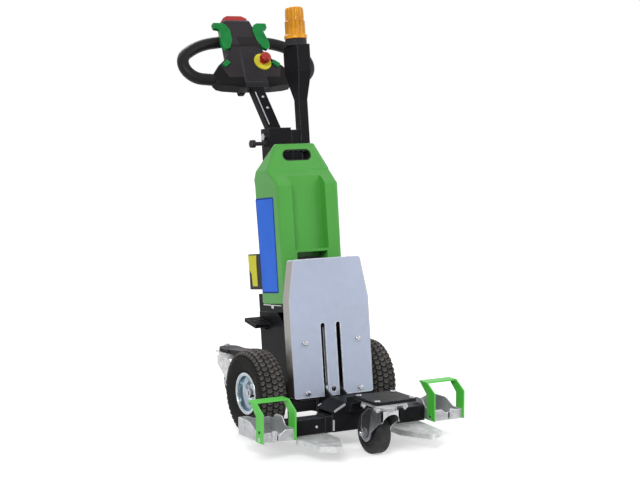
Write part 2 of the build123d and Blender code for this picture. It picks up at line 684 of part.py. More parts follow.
def tiller_pin():
    """Pivot bolt through the column's side walls, with its nut at the left."""
    reach = COLUMN_HALF
    pin = rod((-reach, PIVOT_DEPTH, PIVOT_HEIGHT), (reach, PIVOT_DEPTH, PIVOT_HEIGHT), PIVOT_PIN_RADIUS)
    nut_end = -reach - PIVOT_NUT
    nut = rod((-reach, PIVOT_DEPTH, PIVOT_HEIGHT), (nut_end, PIVOT_DEPTH, PIVOT_HEIGHT), PIVOT_NUT_RADIUS)
    return LEANED * (pin + nut)


def tiller_knob():
    """Pull knob on the column's left side that locks the tiller's angle."""
    side = -COLUMN_HALF
    end = side - KNOB_STEM
    knob = rod((side, KNOB_DEPTH, KNOB_HEIGHT), (end, KNOB_DEPTH, KNOB_HEIGHT), KNOB_STEM_RADIUS)
    collar = side - KNOB_COLLAR
    knob += rod((side, KNOB_DEPTH, KNOB_HEIGHT), (collar, KNOB_DEPTH, KNOB_HEIGHT), KNOB_COLLAR_RADIUS)
    tip = end - KNOB_LENGTH
    knob += rod((end, KNOB_DEPTH, KNOB_HEIGHT), (tip, KNOB_DEPTH, KNOB_HEIGHT), KNOB_RADIUS)
    return LEANED * knob


def head_shape():
    """The control head: its plan outline, with a wing to each grip, crossed with its side and end outlines."""
    plan = [
        (HEAD_FOOT_HALF, HEAD_FOOT), *HEAD_WING_LOW, *HEAD_WING_HIGH, (HEAD_WAIST_HALF, HEAD_WAIST),
        (HEAD_END_HALF, HEAD_LENGTH),
    ]
    side = [
        (HEAD_FOOT_DEPTH[0], HEAD_FOOT), (0, HEAD_FOOT + HEAD_FOOT_SLOPE[0]), (0, HEAD_LEDGE),
        (-HEAD_LEDGE_STEP, HEAD_LEDGE + HEAD_LEDGE_RISE), (0, HEAD_LENGTH - HEAD_END_SLOPE[0]),
        (HEAD_END_DEPTH[0], HEAD_LENGTH), (HEAD_END_DEPTH[1], HEAD_LENGTH),
        (HEAD_DEEP, HEAD_LENGTH - HEAD_END_SLOPE[1]), (HEAD_DEEP, HEAD_FOOT + HEAD_FOOT_SLOPE[1]),
        (HEAD_FOOT_DEPTH[1], HEAD_FOOT),
    ]
    wide = 2 * HEAD_WING_HALF
    past = HEAD_WING_HALF + HEAD_WING_PAST
    end = [
        (HEAD_WING_ROOT, -HEAD_DEEP), (HEAD_WING_ROOT, 0), (past, HEAD_WING_DEPTH[0]),
        (past, HEAD_WING_DEPTH[1]), (HEAD_WING_ROOT, HEAD_DEEP + SEAT_GAP),
    ]
    body = along_y(outline(mirrored(plan)), -HEAD_DEEP, 2 * HEAD_DEEP)
    body &= along_x(outline(side), -wide, wide)
    body &= along_z(outline(mirrored(end)), 0, 2 * HEAD_LENGTH)
    return fillet(body.edges(), HEAD_EDGE)


def tiller_arm():
    """Arm tube on a cross tube that turns about the pivot bolt, its upper end cut to the head."""
    y, z = lean_point(PIVOT_DEPTH, PIVOT_HEIGHT)
    half = COLUMN_HALF - COLUMN_WALL - TILLER_SIDE_GAP
    wide, deep = TILLER_WIDTH / 2, TILLER_DEPTH / 2
    arm = block((-wide, wide), (-deep, deep), (-TILLER_TAIL, TILLER_LENGTH))
    arm = fillet(arm.edges().filter_by(Axis.Z), TILLER_EDGE)
    arm += rod((-half, 0, 0), (half, 0, 0), TILLER_BOSS_RADIUS)
    arm -= rod((-half, 0, 0), (half, 0, 0), PIVOT_PIN_RADIUS + RUNNING_FIT)
    return Pos(0, y, z) * Rot(-TILLER_LEAN, 0, 0) * arm - HEAD_FRAME * head_shape()


def tiller_head():
    """The control head in its place on the arm."""
    return HEAD_FRAME * head_shape()


def handle_loops():
    """A round grip loop on each side of the head, along short runs joined by arcs."""
    bends = (LOOP_ROOT, LOOP_SHOULDER, LOOP_ELBOW, LOOP_WRIST, LOOP_FOOT)
    route = Plane.XZ * FilletPolyline(*bends, radius=LOOP_BENDS)
    loop = sweep(Plane(origin=route @ 0, z_dir=route % 0) * Circle(LOOP_RADIUS), path=route)
    loop = Pos(0, LOOP_DEPTH, 0) * loop - head_shape()
    loop = loop.solids().sort_by(SortBy.VOLUME)[-1]
    return HEAD_FRAME * both_sides(loop)


def thumb_levers():
    """Green butterfly levers at both sides of the head, with hooked tips."""
    low = -LEVER_RISE - LEVER_THICK / 2
    lever = along_y(outline(LEVER_EDGE, LEVER_ROUND), low, low + LEVER_THICK)
    lever = lever - head_shape()
    return HEAD_FRAME * both_sides(lever.solids().sort_by(SortBy.VOLUME)[-1])


def end_button():
    """Red button across the head's far end."""
    edge = [
        (BUTTON_HALF[0], HEAD_LENGTH), (BUTTON_HALF[1], HEAD_LENGTH + BUTTON_SHOULDER),
        (BUTTON_HALF[2], HEAD_LENGTH + BUTTON_LENGTH),
    ]
    button = along_y(outline(mirrored(edge), BUTTON_EDGE), *BUTTON_DEPTH)
    return HEAD_FRAME * button


def stop_ring():
    """Yellow disc under the emergency stop."""
    return HEAD_FRAME * rod((STOP_X, 0, STOP_W), (STOP_X, -STOP_RING, STOP_W), STOP_RING_RADIUS)


def stop_button():
    """Red mushroom button of the emergency stop."""
    foot, neck = STOP_RING, STOP_RING + STOP_STEM
    button = rod((STOP_X, -foot, STOP_W), (STOP_X, -neck, STOP_W), STOP_STEM_RADIUS)
    cap = rod((STOP_X, -neck, STOP_W), (STOP_X, -neck - STOP_CAP, STOP_W), STOP_CAP_RADIUS)
    return HEAD_FRAME * (button + fillet(cap.edges().group_by(Axis.Y)[0], STOP_CAP_EDGE))


def side_keys():
    """A small key on each wing of the head."""
    width, length, high = SIDE_KEY
    key = Pos(SIDE_KEY_X, 0, SIDE_KEY_W) * Rot(0, SIDE_KEY_TURN, 0) * Box(width, 2 * high, length)
    key = (key - head_shape()).solids().sort_by(Axis.Y)[0]
    return HEAD_FRAME * both_sides(key)


def rear_arm():
    """Tapered beam from the chassis back to a round-ended plate over the rear castor."""
    back = COLUMN_DEPTH[1]
    low, high = CASTOR_TOP, CASTOR_TOP + REAR_ARM_PLATE
    beam = [
        lean_point(back, CHASSIS_BACK_LOW + REAR_BEAM_FOOT[0]),
        lean_point(back, CHASSIS_BACK_LOW + REAR_BEAM_FOOT[1]),
        (REAR_SWIVEL_Y - REAR_BEAM_END, high), (REAR_SWIVEL_Y - REAR_BEAM_END, low),
        (REAR_SWIVEL_Y - REAR_BEAM_FLAT, low),
    ]
    arm = along_x(outline(beam), -REAR_ARM_HALF, REAR_ARM_HALF)
    end_y = REAR_REACH - REAR_ARM_END_HALF
    half = REAR_ARM_END_HALF
    plate = block((-half, half), (REAR_SWIVEL_Y - REAR_PLATE_FRONT, end_y), (low, high))
    return arm + plate + rod((0, end_y, low), (0, end_y, high), half)


def castor_plate(swivel_y, top, size):
    """Fixed top plate with the upper ball race and a hole for the kingpin."""
    half_x, half_y, corner = size[0] / 2, size[1] / 2, size[2]
    plate = block((-half_x, half_x), (swivel_y - half_y, swivel_y + half_y), (CASTOR_PLATE_LOW, top))
    plate = fillet(plate.edges().filter_by(Axis.Z), corner)
    plate += rod((0, swivel_y, CASTOR_RACE_LOW), (0, swivel_y, CASTOR_PLATE_LOW), CASTOR_RACE_RADIUS)
    return plate - rod((0, swivel_y, CASTOR_RACE_LOW), (0, swivel_y, top), KINGPIN_RADIUS + RUNNING_FIT)


def castor_fork(swivel_y, trail):
    """Swivel fork: lower race, crown, two broad legs that reach back to a lobe at the axle, kingpin and axle bolt."""
    inner = CASTOR_FORK_GAP / 2
    outer = inner + CASTOR_SHEET
    axle_y, axle_z = swivel_y + trail, CASTOR_WHEEL_RADIUS
    race_top = CASTOR_RACE_LOW - CASTOR_RACE_GAP
    crown = CASTOR_CROWN_LOW + CASTOR_SHEET
    lead = math.copysign(1, trail)
    front, back = swivel_y - lead * CASTOR_LEG_LEAD, swivel_y + lead * CASTOR_LEG_BACK
    toe, heel = axle_y - lead * CASTOR_LOBE_RADIUS, axle_y + lead * CASTOR_LOBE_RADIUS
    shoulder = (axle_y + lead * CASTOR_LEG_SHOULDER[0], CASTOR_LEG_SHOULDER[1])
    brow = crown - CASTOR_LEG_DEEP
    knee_z = (brow + axle_z) / 2
    knee_y = (front + toe) / 2 + lead * CASTOR_LEG_HOLLOW
    leg = [
        Polyline((toe, axle_z), (heel, axle_z), shoulder, (back, crown), (front, crown), (front, brow)),
        ThreePointArc((front, brow), (knee_y, knee_z), (toe, axle_z)),
    ]
    sheet = along_x(make_face(leg), inner, outer)
    sheet += rod((inner, axle_y, axle_z), (outer, axle_y, axle_z), CASTOR_LOBE_RADIUS)
    sheet += rod((outer, axle_y, axle_z), (outer + CASTOR_BOSS, axle_y, axle_z), CASTOR_BOSS_RADIUS)
    fork = both_sides(sheet)
    crown_y = (swivel_y - CASTOR_CROWN_HALF, swivel_y + CASTOR_CROWN_HALF)
    fork += block((-outer, outer), crown_y, (CASTOR_CROWN_LOW, crown))
    fork += rod((0, swivel_y, CASTOR_CROWN_LOW), (0, swivel_y, race_top), CASTOR_RACE_RADIUS)
    fork += rod((0, swivel_y, race_top), (0, swivel_y, CASTOR_TOP - CASTOR_RACE_GAP), KINGPIN_RADIUS)
    return fork + rod((-outer, axle_y, axle_z), (outer, axle_y, axle_z), CASTOR_AXLE_RADIUS)


def castor_tyre(axle_y):
    """Rubber ring of a castor wheel, with rounded shoulders."""
    half = CASTOR_WHEEL_WIDTH / 2
    inner = CASTOR_CORE_RADIUS + SEAT_GAP
    radius = CASTOR_WHEEL_RADIUS
    ring = rod((-half, axle_y, radius), (half, axle_y, radius), radius)
    ring = fillet(ring.edges(), CASTOR_TYRE_ROUND)
    return ring - rod((-half, axle_y, radius), (half, axle_y, radius), inner)


def castor_core(axle_y):
    """Wheel body and hub of a castor wheel, bored for the axle bolt."""
    half = CASTOR_WHEEL_WIDTH / 2 - CASTOR_CORE_INSET
    hub = CASTOR_FORK_GAP / 2 - TILLER_SIDE_GAP
    z = CASTOR_WHEEL_RADIUS
    core = rod((-half, axle_y, z), (half, axle_y, z), CASTOR_CORE_RADIUS)
    core += rod((-hub, axle_y, z), (hub, axle_y, z), CASTOR_HUB_RADIUS)
    return core - rod((-hub, axle_y, z), (hub, axle_y, z), CASTOR_AXLE_RADIUS + RUNNING_FIT)


def hitch_arms():
    """Two plates that reach from the carriage through the slots to the hitch box."""
    front = CROSS_DEPTH[0]
    corners = [
        lean_point(front, CARRIAGE_LOW + ARM_CARRIAGE_EDGE[0]),
        lean_point(front, CARRIAGE_HIGH - ARM_CARRIAGE_EDGE[1]),
        (HOUSE_BACK_Y, HOUSE_TOP - ARM_HOUSE_EDGE[1]), (HOUSE_BACK_Y, HITCH_LOW + ARM_HOUSE_EDGE[0]),
    ]
    half = ARM_THICK / 2
    return both_sides(along_x(outline(corners), SLOT_X - half, SLOT_X + half))


def hitch_box():
    """Front and back gable plates under a sloping roof, with sleeves round the crossbar."""
    gable = [(HOUSE_HALF, HITCH_LOW), (HOUSE_HALF, HOUSE_EAVE), (HOUSE_TOP_HALF, HOUSE_TOP)]
    roof = [(HOUSE_HALF, HOUSE_EAVE), (HOUSE_TOP_HALF, HOUSE_TOP)]
    under = [(x, z - HOUSE_ROOF) for x, z in roof]
    bar_front = HOUSE_FRONT_Y + HOUSE_PLATE
    bar_top = HITCH_LOW + BAR_SIZE
    back = HOUSE_BACK_Y - HOUSE_PLATE
    box = along_y(outline(mirrored(gable)), HOUSE_FRONT_Y, bar_front)
    box += along_y(outline(mirrored(gable)), back, HOUSE_BACK_Y)
    box += along_y(outline(mirrored(roof) + list(reversed(mirrored(under)))), bar_front, back)
    bar_back = bar_front + BAR_SIZE
    sleeve = block((HOUSE_HALF, SLEEVE_REACH), (bar_front - SLEEVE, bar_back + SLEEVE),
                   (HITCH_LOW, bar_top + SLEEVE))
    sleeve -= block((HOUSE_HALF, SLEEVE_REACH), (bar_front, bar_back), (HITCH_LOW, bar_top))
    return box + both_sides(sleeve)


def crossbar():
    """Square tube across the hitch that carries the grippers."""
    half = HOOP_INNER + HOOP_STRIP
    front = HOUSE_FRONT_Y + HOUSE_PLATE
    tube = block((-half, half), (front, front + BAR_SIZE), (HITCH_LOW, HITCH_LOW + BAR_SIZE))
    return tube - block((-half, half), (front + BAR_WALL, front + BAR_SIZE - BAR_WALL),
                        (HITCH_LOW + BAR_WALL, HITCH_LOW + BAR_SIZE - BAR_WALL))


def fork_plate():
    """Right-hand galvanised plate under the crossbar: a tab beside the castor's swing, its edge folded down."""
    back = HOUSE_FRONT_Y + HOUSE_PLATE + BAR_SIZE
    edge = [
        (FORK_OUTER, back), (FORK_OUTER, back - FORK_SIDE_LENGTH),
        (FORK_TOE_OUTER[0], back - FORK_TOE_OUTER[1]), (FORK_TOE_INNER[0], back - FORK_TOE_INNER[1]),
        (FORK_INNER, back - FORK_HEEL), (FORK_INNER, back),
    ]
    face = outline(edge, FORK_CORNER)
    plate = along_z(face, HITCH_LOW - FORK_SHEET, HITCH_LOW)
    lip = along_z(face - offset(face, -FORK_SHEET), HITCH_LOW - FORK_LIP, HITCH_LOW - FORK_SHEET)
    folded = block((0, HOOP_OUTER), (-HITCH_REACH, back - FORK_SIDE_LENGTH), (0, HITCH_LOW))
    return plate + (lip & folded)


def castor_pad():
    """Black pad over the front castor on a neck from the hitch box."""
    low = PAD_TOP - PAD_THICK
    half = PAD_WIDTH / 2
    back = -HITCH_REACH + PAD_LENGTH
    pad = block((-half, half), (-HITCH_REACH, back), (low, PAD_TOP))
    pad = fillet(pad.edges().filter_by(Axis.Z), PAD_CORNER)
    foot, knee = HOUSE_FRONT_Y, HOUSE_FRONT_Y - NECK_KNEE[0]
    neck = [
        (foot, HOUSE_TOP - NECK_FOOT[1]), (foot, HOUSE_TOP + NECK_RISE), (back, PAD_TOP - NECK_DROP),
        (back - NECK_LAP, low), (back - NECK_LAP, low - NECK_DEEP), (knee, HOUSE_TOP + NECK_KNEE[1]),
        (foot - NECK_FOOT[0], HOUSE_TOP - NECK_FOOT[1]),
    ]
    return pad + along_x(outline(neck), -NECK_HALF, NECK_HALF)


def wall_face(start, end, top):
    """A gripper wall's outline in (along, z): flat foot and a top edge rounded at its steps."""
    points = [(start + along * (end - start), GRIP_LOW + high * GRIP_HIGH) for along, high in top]
    face = make_face(Polyline((start, GRIP_LOW), *points, (end, GRIP_LOW), close=True))
    steps = [v for v in face.vertices() if start + TRAY_WALL < v.X < end - TRAY_WALL]
    return fillet(steps, GRIP_ROUND)


def gripper():
    """Right-hand castor tray of folded sheet with shaped wall tops."""
    inner, outer = HOOP_INNER + HOOP_STRIP, HOOP_OUTER - HOOP_STRIP
    front, back = GRIP_FRONT_Y, GRIP_BACK_Y
    tray = block((inner, outer), (front, back), (GRIP_LOW, GRIP_LOW + TRAY_WALL))
    tray += along_x(wall_face(front, back, GRIP_OUTER_TOP), outer - TRAY_WALL, outer)
    tray += along_x(wall_face(front, back, GRIP_INNER_TOP), inner, inner + TRAY_WALL)
    tray += along_y(wall_face(inner, outer, GRIP_FRONT_TOP), front, front + TRAY_WALL)
    return tray + along_y(wall_face(inner, outer, GRIP_BACK_TOP), back - TRAY_WALL, back)


def hoop():
    """Right-hand green hoop: a flat strip over the gripper, its legs bent back towards the machine."""
    half = HOOP_WIDTH / 2
    leg = [
        (HOOP_LEG_Y - half, HOOP_LEG_LOW), (HOOP_LEG_Y - half, HOOP_BEND + HOOP_SKEW),
        (HOOP_TOP_Y - half, HOOP_TOP), (HOOP_TOP_Y + half, HOOP_TOP),
        (HOOP_LEG_Y + half, HOOP_BEND - HOOP_SKEW), (HOOP_LEG_Y + half, HOOP_LEG_LOW),
    ]
    strip = along_x(outline(leg), HOOP_INNER, HOOP_INNER + HOOP_STRIP)
    strip += along_x(outline(leg), HOOP_OUTER - HOOP_STRIP, HOOP_OUTER)
    top_y = (HOOP_TOP_Y - half, HOOP_TOP_Y + half)
    return strip + block((HOOP_INNER, HOOP_OUTER), top_y, (HOOP_TOP - HOOP_STRIP, HOOP_TOP))


def all_pieces():
    """Every piece by name, in the drive axle's frame."""
    pieces = {
        "chassis_frame": chassis_frame(), "drive_unit": drive_unit(), "front_plate": front_plate(),
        "guide_rods": guide_rods(), "lift_actuator": lift_actuator(), "column": column(),
        "battery_case": battery_case(), "case_connector": case_connector(), "battery_tray": battery_tray(),
        "status_box": status_box(), "foot_pedal": foot_pedal(), "beacon_post": beacon_post(),
        "beacon_base": beacon_base(), "beacon_lens": beacon_lens(), "tiller_pin": tiller_pin(),
        "tiller_knob": tiller_knob(), "rear_arm": rear_arm(),
        "tiller_arm": tiller_arm(), "tiller_head": tiller_head(), "handle_loops": handle_loops(),
        "thumb_levers": thumb_levers(), "end_button": end_button(), "stop_ring": stop_ring(),
        "stop_button": stop_button(), "side_keys": side_keys(),
        "lift_carriage": lift_carriage(), "hitch_arms": hitch_arms(), "hitch_box": hitch_box(),
        "crossbar": crossbar(), "castor_pad": castor_pad(),
    }
    castors = (
        ("front", FRONT_SWIVEL_Y, CASTOR_TRAIL, PAD_TOP - PAD_THICK, FRONT_CASTOR_PLATE),
        ("rear", REAR_SWIVEL_Y, -CASTOR_TRAIL, CASTOR_TOP, REAR_CASTOR_PLATE),
    )
    for end, swivel_y, trail, top, size in castors:
        pieces[f"{end}_castor_plate"] = castor_plate(swivel_y, top, size)
        pieces[f"{end}_castor_fork"] = castor_fork(swivel_y, trail)
        pieces[f"{end}_castor_tyre"] = castor_tyre(swivel_y + trail)
        pieces[f"{end}_castor_core"] = castor_core(swivel_y + trail)
    for side, sign in SIDES:
        wheel = Pos(sign * WHEEL_TRACK / 2, 0, TYRE_RADIUS) * (Rot(0, 0, 0) if sign > 0 else Rot(0, 0, 180))
        pieces[f"{side}_tyre"] = wheel * drive_tyre()
        pieces[f"{side}_rim"] = wheel * drive_rim()
        for name, shape in (("gripper", gripper()), ("hoop", hoop()), ("fork_plate", fork_plate())):
            pieces[f"{side}_{name}"] = shape if sign > 0 else mirror(shape, about=Plane.YZ)
    return pieces


os.makedirs("parts", exist_ok=True)
for name, piece in all_pieces().items():
    export_step(MACHINE * piece, f"parts/{name}.step")
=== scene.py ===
"""Looks of a pedestrian electric tow tractor: finishes, tread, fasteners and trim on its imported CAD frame."""
import json
import math

import bmesh
import bpy
import numpy as np
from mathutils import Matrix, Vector


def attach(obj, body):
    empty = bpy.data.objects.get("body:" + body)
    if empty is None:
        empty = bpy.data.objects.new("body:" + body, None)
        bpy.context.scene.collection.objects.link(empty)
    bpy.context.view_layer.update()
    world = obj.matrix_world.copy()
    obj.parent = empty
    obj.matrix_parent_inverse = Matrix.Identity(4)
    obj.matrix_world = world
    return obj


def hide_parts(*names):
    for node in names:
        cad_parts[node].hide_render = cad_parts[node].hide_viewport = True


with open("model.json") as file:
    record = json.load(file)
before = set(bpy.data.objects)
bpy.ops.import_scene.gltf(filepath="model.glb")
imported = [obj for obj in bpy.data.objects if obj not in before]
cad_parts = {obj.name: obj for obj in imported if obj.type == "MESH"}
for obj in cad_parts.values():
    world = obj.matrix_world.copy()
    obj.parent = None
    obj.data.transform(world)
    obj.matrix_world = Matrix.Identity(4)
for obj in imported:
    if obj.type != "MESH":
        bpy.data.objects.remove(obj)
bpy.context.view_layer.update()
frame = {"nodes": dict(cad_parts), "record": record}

bl_info = {
    "name": "Electric tow tractor",
    "version": (1, 0, 0),
    "blender": (4, 5, 0),
    "location": "View3D > Sidebar > Tow tractor",
    "description": "Finishes, tread, fasteners and trim of a pedestrian electric tow tractor",
    "category": "Object",
}

# Places that the CAD source gives, in metres
AXLE_Y = -0.048
AXLE_Z = 0.130
WHEEL_X = 0.188
LEAN = math.radians(7.0)
HEAD_LEAN = math.radians(35.0)
ARM_LEAN = math.radians(43.0)

SIDES = (("left", -1.0), ("right", 1.0))
FULL_TURN = 2 * math.pi
MIRROR = (-1, 1)
FORWARD = (0, -1, 0)
UP = (0, 0, 1)


def basis(turn):
    """Rows that carry local (x, depth, height) into the machine's axes, leaning back by an angle."""
    c, s = math.cos(turn), math.sin(turn)
    return np.array([[1, 0, 0], [0, c, -s], [0, s, c]])


# Local frames: the leaning column (x, depth behind the front plate, height), the control head
# (x, depth under its top face, way along it), the tiller arm (x, depth from its middle, way along it)
# and the level frame (x, way back from the drive axle, height)
LEANED = (np.array([0, -0.1552 + AXLE_Y, 0]), basis(LEAN))
HEAD = (np.array([0, 0.307 + AXLE_Y, 0.990]), basis(HEAD_LEAN))
ARM = (np.array([0, 0.21476 + AXLE_Y, 0.87141]), basis(ARM_LEAN))
LEVEL = (np.array([0, AXLE_Y, 0]), np.eye(3))


def place(points, where):
    """Points of a local frame in the machine's frame: the frame's origin plus coordinates times its rows."""
    origin, rows = where
    return np.asarray(points, float) @ rows + origin


def on_side(sign, point):
    """A point of the right side, taken to the side of a sign."""
    x, depth, height = point
    return (sign * x, depth, height)


def spots(where, points, axis):
    """Places for copies: points of a local frame and one local axis, in the machine's frame."""
    return [(place(p, where), np.asarray(axis, float) @ where[1]) for p in points]


def both_sides(x, depths, heights):
    """Local points on the left and on the right, at each depth and height."""
    return [(sign * x, y, z) for _, sign in SIDES for y in depths for z in heights]


def pointing(axis):
    """Rows of a turn that carries +Z onto an axis: two unit vectors square to it, then the axis."""
    up = np.asarray(axis, float) / np.linalg.norm(axis)
    side = np.array([1.0, 0, 0]) if abs(up[0]) < 0.9 else np.array([0, 1.0, 0])
    first = np.cross(side, up)
    first /= np.linalg.norm(first)
    return np.array([first, np.cross(up, first), up])


def turned(rings, count, flats=0):
    """Rings (radius, height, flatness) turned about Z on a grid of ring by angle.
    Each radius is the distance of a polygon's flats, divided by cos(angle mod 2pi/n - pi/n) as far as
    flatness says."""
    angle = np.linspace(0, FULL_TURN, count, endpoint=False)
    rings = np.array([(*r, 0.0)[:3] for r in rings], float)
    swell = np.zeros(count)
    if flats:
        part = FULL_TURN / flats
        swell = 1 / np.cos(angle % part - part / 2) - 1
    radius = rings[:, :1] * (1 + rings[:, 2:] * swell)
    height = np.repeat(rings[:, 1:2], count, axis=1)
    return np.stack([radius * np.cos(angle), radius * np.sin(angle), height], axis=-1)


def copies(grid, places):
    """One grid repeated at places (origin, axis), its +Z turned onto each axis."""
    return [grid @ pointing(axis) + np.asarray(origin, float) for origin, axis in places]


def fasteners(rings, where, points, axis, count=24):
    """Six-sided fasteners at points of a local frame, their heads along one local axis."""
    return copies(turned(rings, count, 6), spots(where, points, axis))


def slab(rim, rows):
    """A plate from a flat rim outline (n by 2) and rows of (inset in metres, height).
    An inset moves each rim point towards the middle by that length; the first and last rows are closed
    at their middles."""
    rim = np.asarray(rim, float)
    middle = (rim.max(0) + rim.min(0)) / 2
    reach = np.linalg.norm(rim - middle, axis=1, keepdims=True)
    levels = []
    for inset, height in ((math.inf, rows[0][1]), *rows, (math.inf, rows[-1][1])):
        ring = middle + (rim - middle) * (1 - np.minimum(inset / reach, 1))
        levels.append(np.column_stack([ring, np.full(len(rim), height)]))
    return np.stack(levels)


def rounded(width, height, radius, steps=6):
    """A rectangle's outline with quarter-circle corners, as points going round it."""
    quarter = np.linspace(0, math.pi / 2, steps)
    corners = []
    for k, (sx, sy) in enumerate(((1, 1), (-1, 1), (-1, -1), (1, -1))):
        angle = quarter + k * math.pi / 2
        centre = np.array([sx * (width / 2 - radius), sy * (height / 2 - radius)])
        corners.append(centre + radius * np.column_stack([np.cos(angle), np.sin(angle)]))
    return np.concatenate(corners)


def plate_points(rim, thick, where, origin, across=(1, 0, 0), along=UP, edge=0.0004):
    """A thin plate with a broken edge, set on a face: its outline lies on the local axes across and along,
    and its thickness on their cross product, which is forward as they stand."""
    grid = slab(rim, ((0, 0), (0, thick - edge), (edge, thick)))
    across, along = np.asarray(across, float), np.asarray(along, float)
    rows = np.array([across, along, np.cross(across, along)])
    return place(grid @ rows + np.asarray(origin, float), where)


def tube(path, radius, count=12):
    """A round profile carried along a path of points, with both ends closed at their middles."""
    path = np.asarray(path, float)
    ahead = np.gradient(path, axis=0)
    ahead /= np.linalg.norm(ahead, axis=1, keepdims=True)
    side = np.cross(ahead, np.array([0.3, 0.2, 0.93]))
    side /= np.linalg.norm(side, axis=1, keepdims=True)
    other = np.cross(ahead, side)
    angle = np.linspace(0, FULL_TURN, count, endpoint=False)
    ring = np.cos(angle)[None, :, None] * side[:, None] + np.sin(angle)[None, :, None] * other[:, None]
    body = path[:, None] + radius * ring
    ends = [np.repeat(path[k][None, None], count, axis=1) for k in (0, -1)]
    return np.concatenate([ends[0], body, ends[1]])


def about_axle(x, radius, angle):
    """A grid turned about X: angle by point, from the top towards the back."""
    turn = angle[:, None]
    parts = np.broadcast_arrays(x, radius * np.sin(turn), radius * np.cos(turn))
    return np.stack(parts, axis=-1)


def grid_faces(rows, columns, start=0):
    """Quads of a grid that closes on itself across its columns."""
    r, c = np.meshgrid(np.arange(rows - 1), np.arange(columns), indexing="ij")
    n = (c + 1) % columns
    here, above = r * columns, (r + 1) * columns
    return np.stack([here + c, here + n, above + n, above + c], axis=-1).reshape(-1, 4) + start


def add(name, data):
    """A new object in the scene's own collection."""
    made = bpy.data.objects.new(name, data)
    bpy.context.scene.collection.objects.link(made)
    return made


def piece(name, grids, body, slot, material=None, crease=35.0, marks=None):
    """A finished object from point grids, riding on a body: doubles merged, faces outward, smooth but for
    creases. marks gives one value per grid point, kept as the attribute 'mark'."""
    mesh = bpy.data.meshes.new(name)
    points, faces, start = [], [], 0
    for grid in grids:
        rows, columns = grid.shape[:2]
        points.append(grid.reshape(-1, 3))
        faces.append(grid_faces(rows, columns, start))
        start += rows * columns
    mesh.from_pydata(np.concatenate(points).tolist(), [], np.concatenate(faces).tolist())
    if marks is not None:
        layer = mesh.attributes.new("mark", "FLOAT", "POINT")
        layer.data.foreach_set("value", np.asarray(marks, np.float32).ravel())
    work = bmesh.new()
    work.from_mesh(mesh)
    bmesh.ops.remove_doubles(work, verts=work.verts, dist=1e-6)
    bmesh.ops.dissolve_degenerate(work, edges=work.edges, dist=1e-7)
    bmesh.ops.recalc_face_normals(work, faces=work.faces)
    work.to_mesh(mesh)
    work.free()
    mesh.shade_smooth()
    mesh.set_sharp_from_angle(angle=math.radians(crease))
    mesh.materials.append(bpy.data.materials[material or slot])
    made = add(name, mesh)
    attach(made, body)
    return made


# Fasteners, as rings of (radius, height, flatness) in metres on the face they sit on
HEX_BOLT = (
    (0, 0), (0.0105, 0), (0.0105, 0.0016), (0.0085, 0.0018), (0.0085, 0.0019, 1), (0.0085, 0.0066, 1),
    (0.0074, 0.0078, 0.3), (0.0066, 0.0080), (0, 0.0080))
HOOP_BOLT = (
    (0, 0), (0.0062, 0), (0.0062, 0.0006), (0.0052, 0.0014), (0.0032, 0.0018), (0.0022, 0.0018),
    (0.0021, 0.0008, 1), (0, 0.0008))
PLATE_BOLT = tuple((r * 0.80, h * 0.9, *f) for r, h, *f in HEX_BOLT)
PAN_HEAD = (
    (0, 0), (0.0088, 0), (0.0090, 0.0012), (0.0080, 0.0026), (0.0050, 0.0035), (0.0032, 0.0036),
    (0.0031, 0.0016, 1), (0, 0.0016))
SET_SCREW = (
    (0, 0), (0.0042, 0), (0.0042, 0.0024), (0.0034, 0.0030), (0.0022, 0.0030), (0.0021, 0.0010, 1),
    (0, 0.0010))
WHEEL_NUT = (
    (0, 0), (0.0080, 0), (0.0080, 0.0008, 1), (0.0080, 0.0075, 1), (0.0066, 0.0086, 0.3), (0.0046, 0.0087),
    (0.0044, 0.0120), (0.0036, 0.0132), (0, 0.0132))
COTTER_NUT = (
    (0, 0), (0.0190, 0), (0.0190, 0.0030), (0.0175, 0.0042), (0.0125, 0.0046), (0.0125, 0.0047, 1),
    (0.0125, 0.0125, 1), (0.0108, 0.0140, 0.3), (0.0070, 0.0142), (0.0066, 0.0170), (0, 0.0172))
AXLE_BOLT = tuple((r * 1.35, h * 1.2, *f) for r, h, *f in WHEEL_NUT)
VALVE_STEM = (
    (0, 0), (0.0042, 0), (0.0042, 0.010), (0.0030, 0.011), (0.0030, 0.016), (0.0040, 0.017),
    (0.0040, 0.024), (0.0028, 0.026), (0, 0.026))
HOOP_PLUG = ((0, 0), (0.0045, 0), (0.0045, 0.0006), (0.0036, 0.0010), (0.0020, 0.0004), (0, 0.0004))


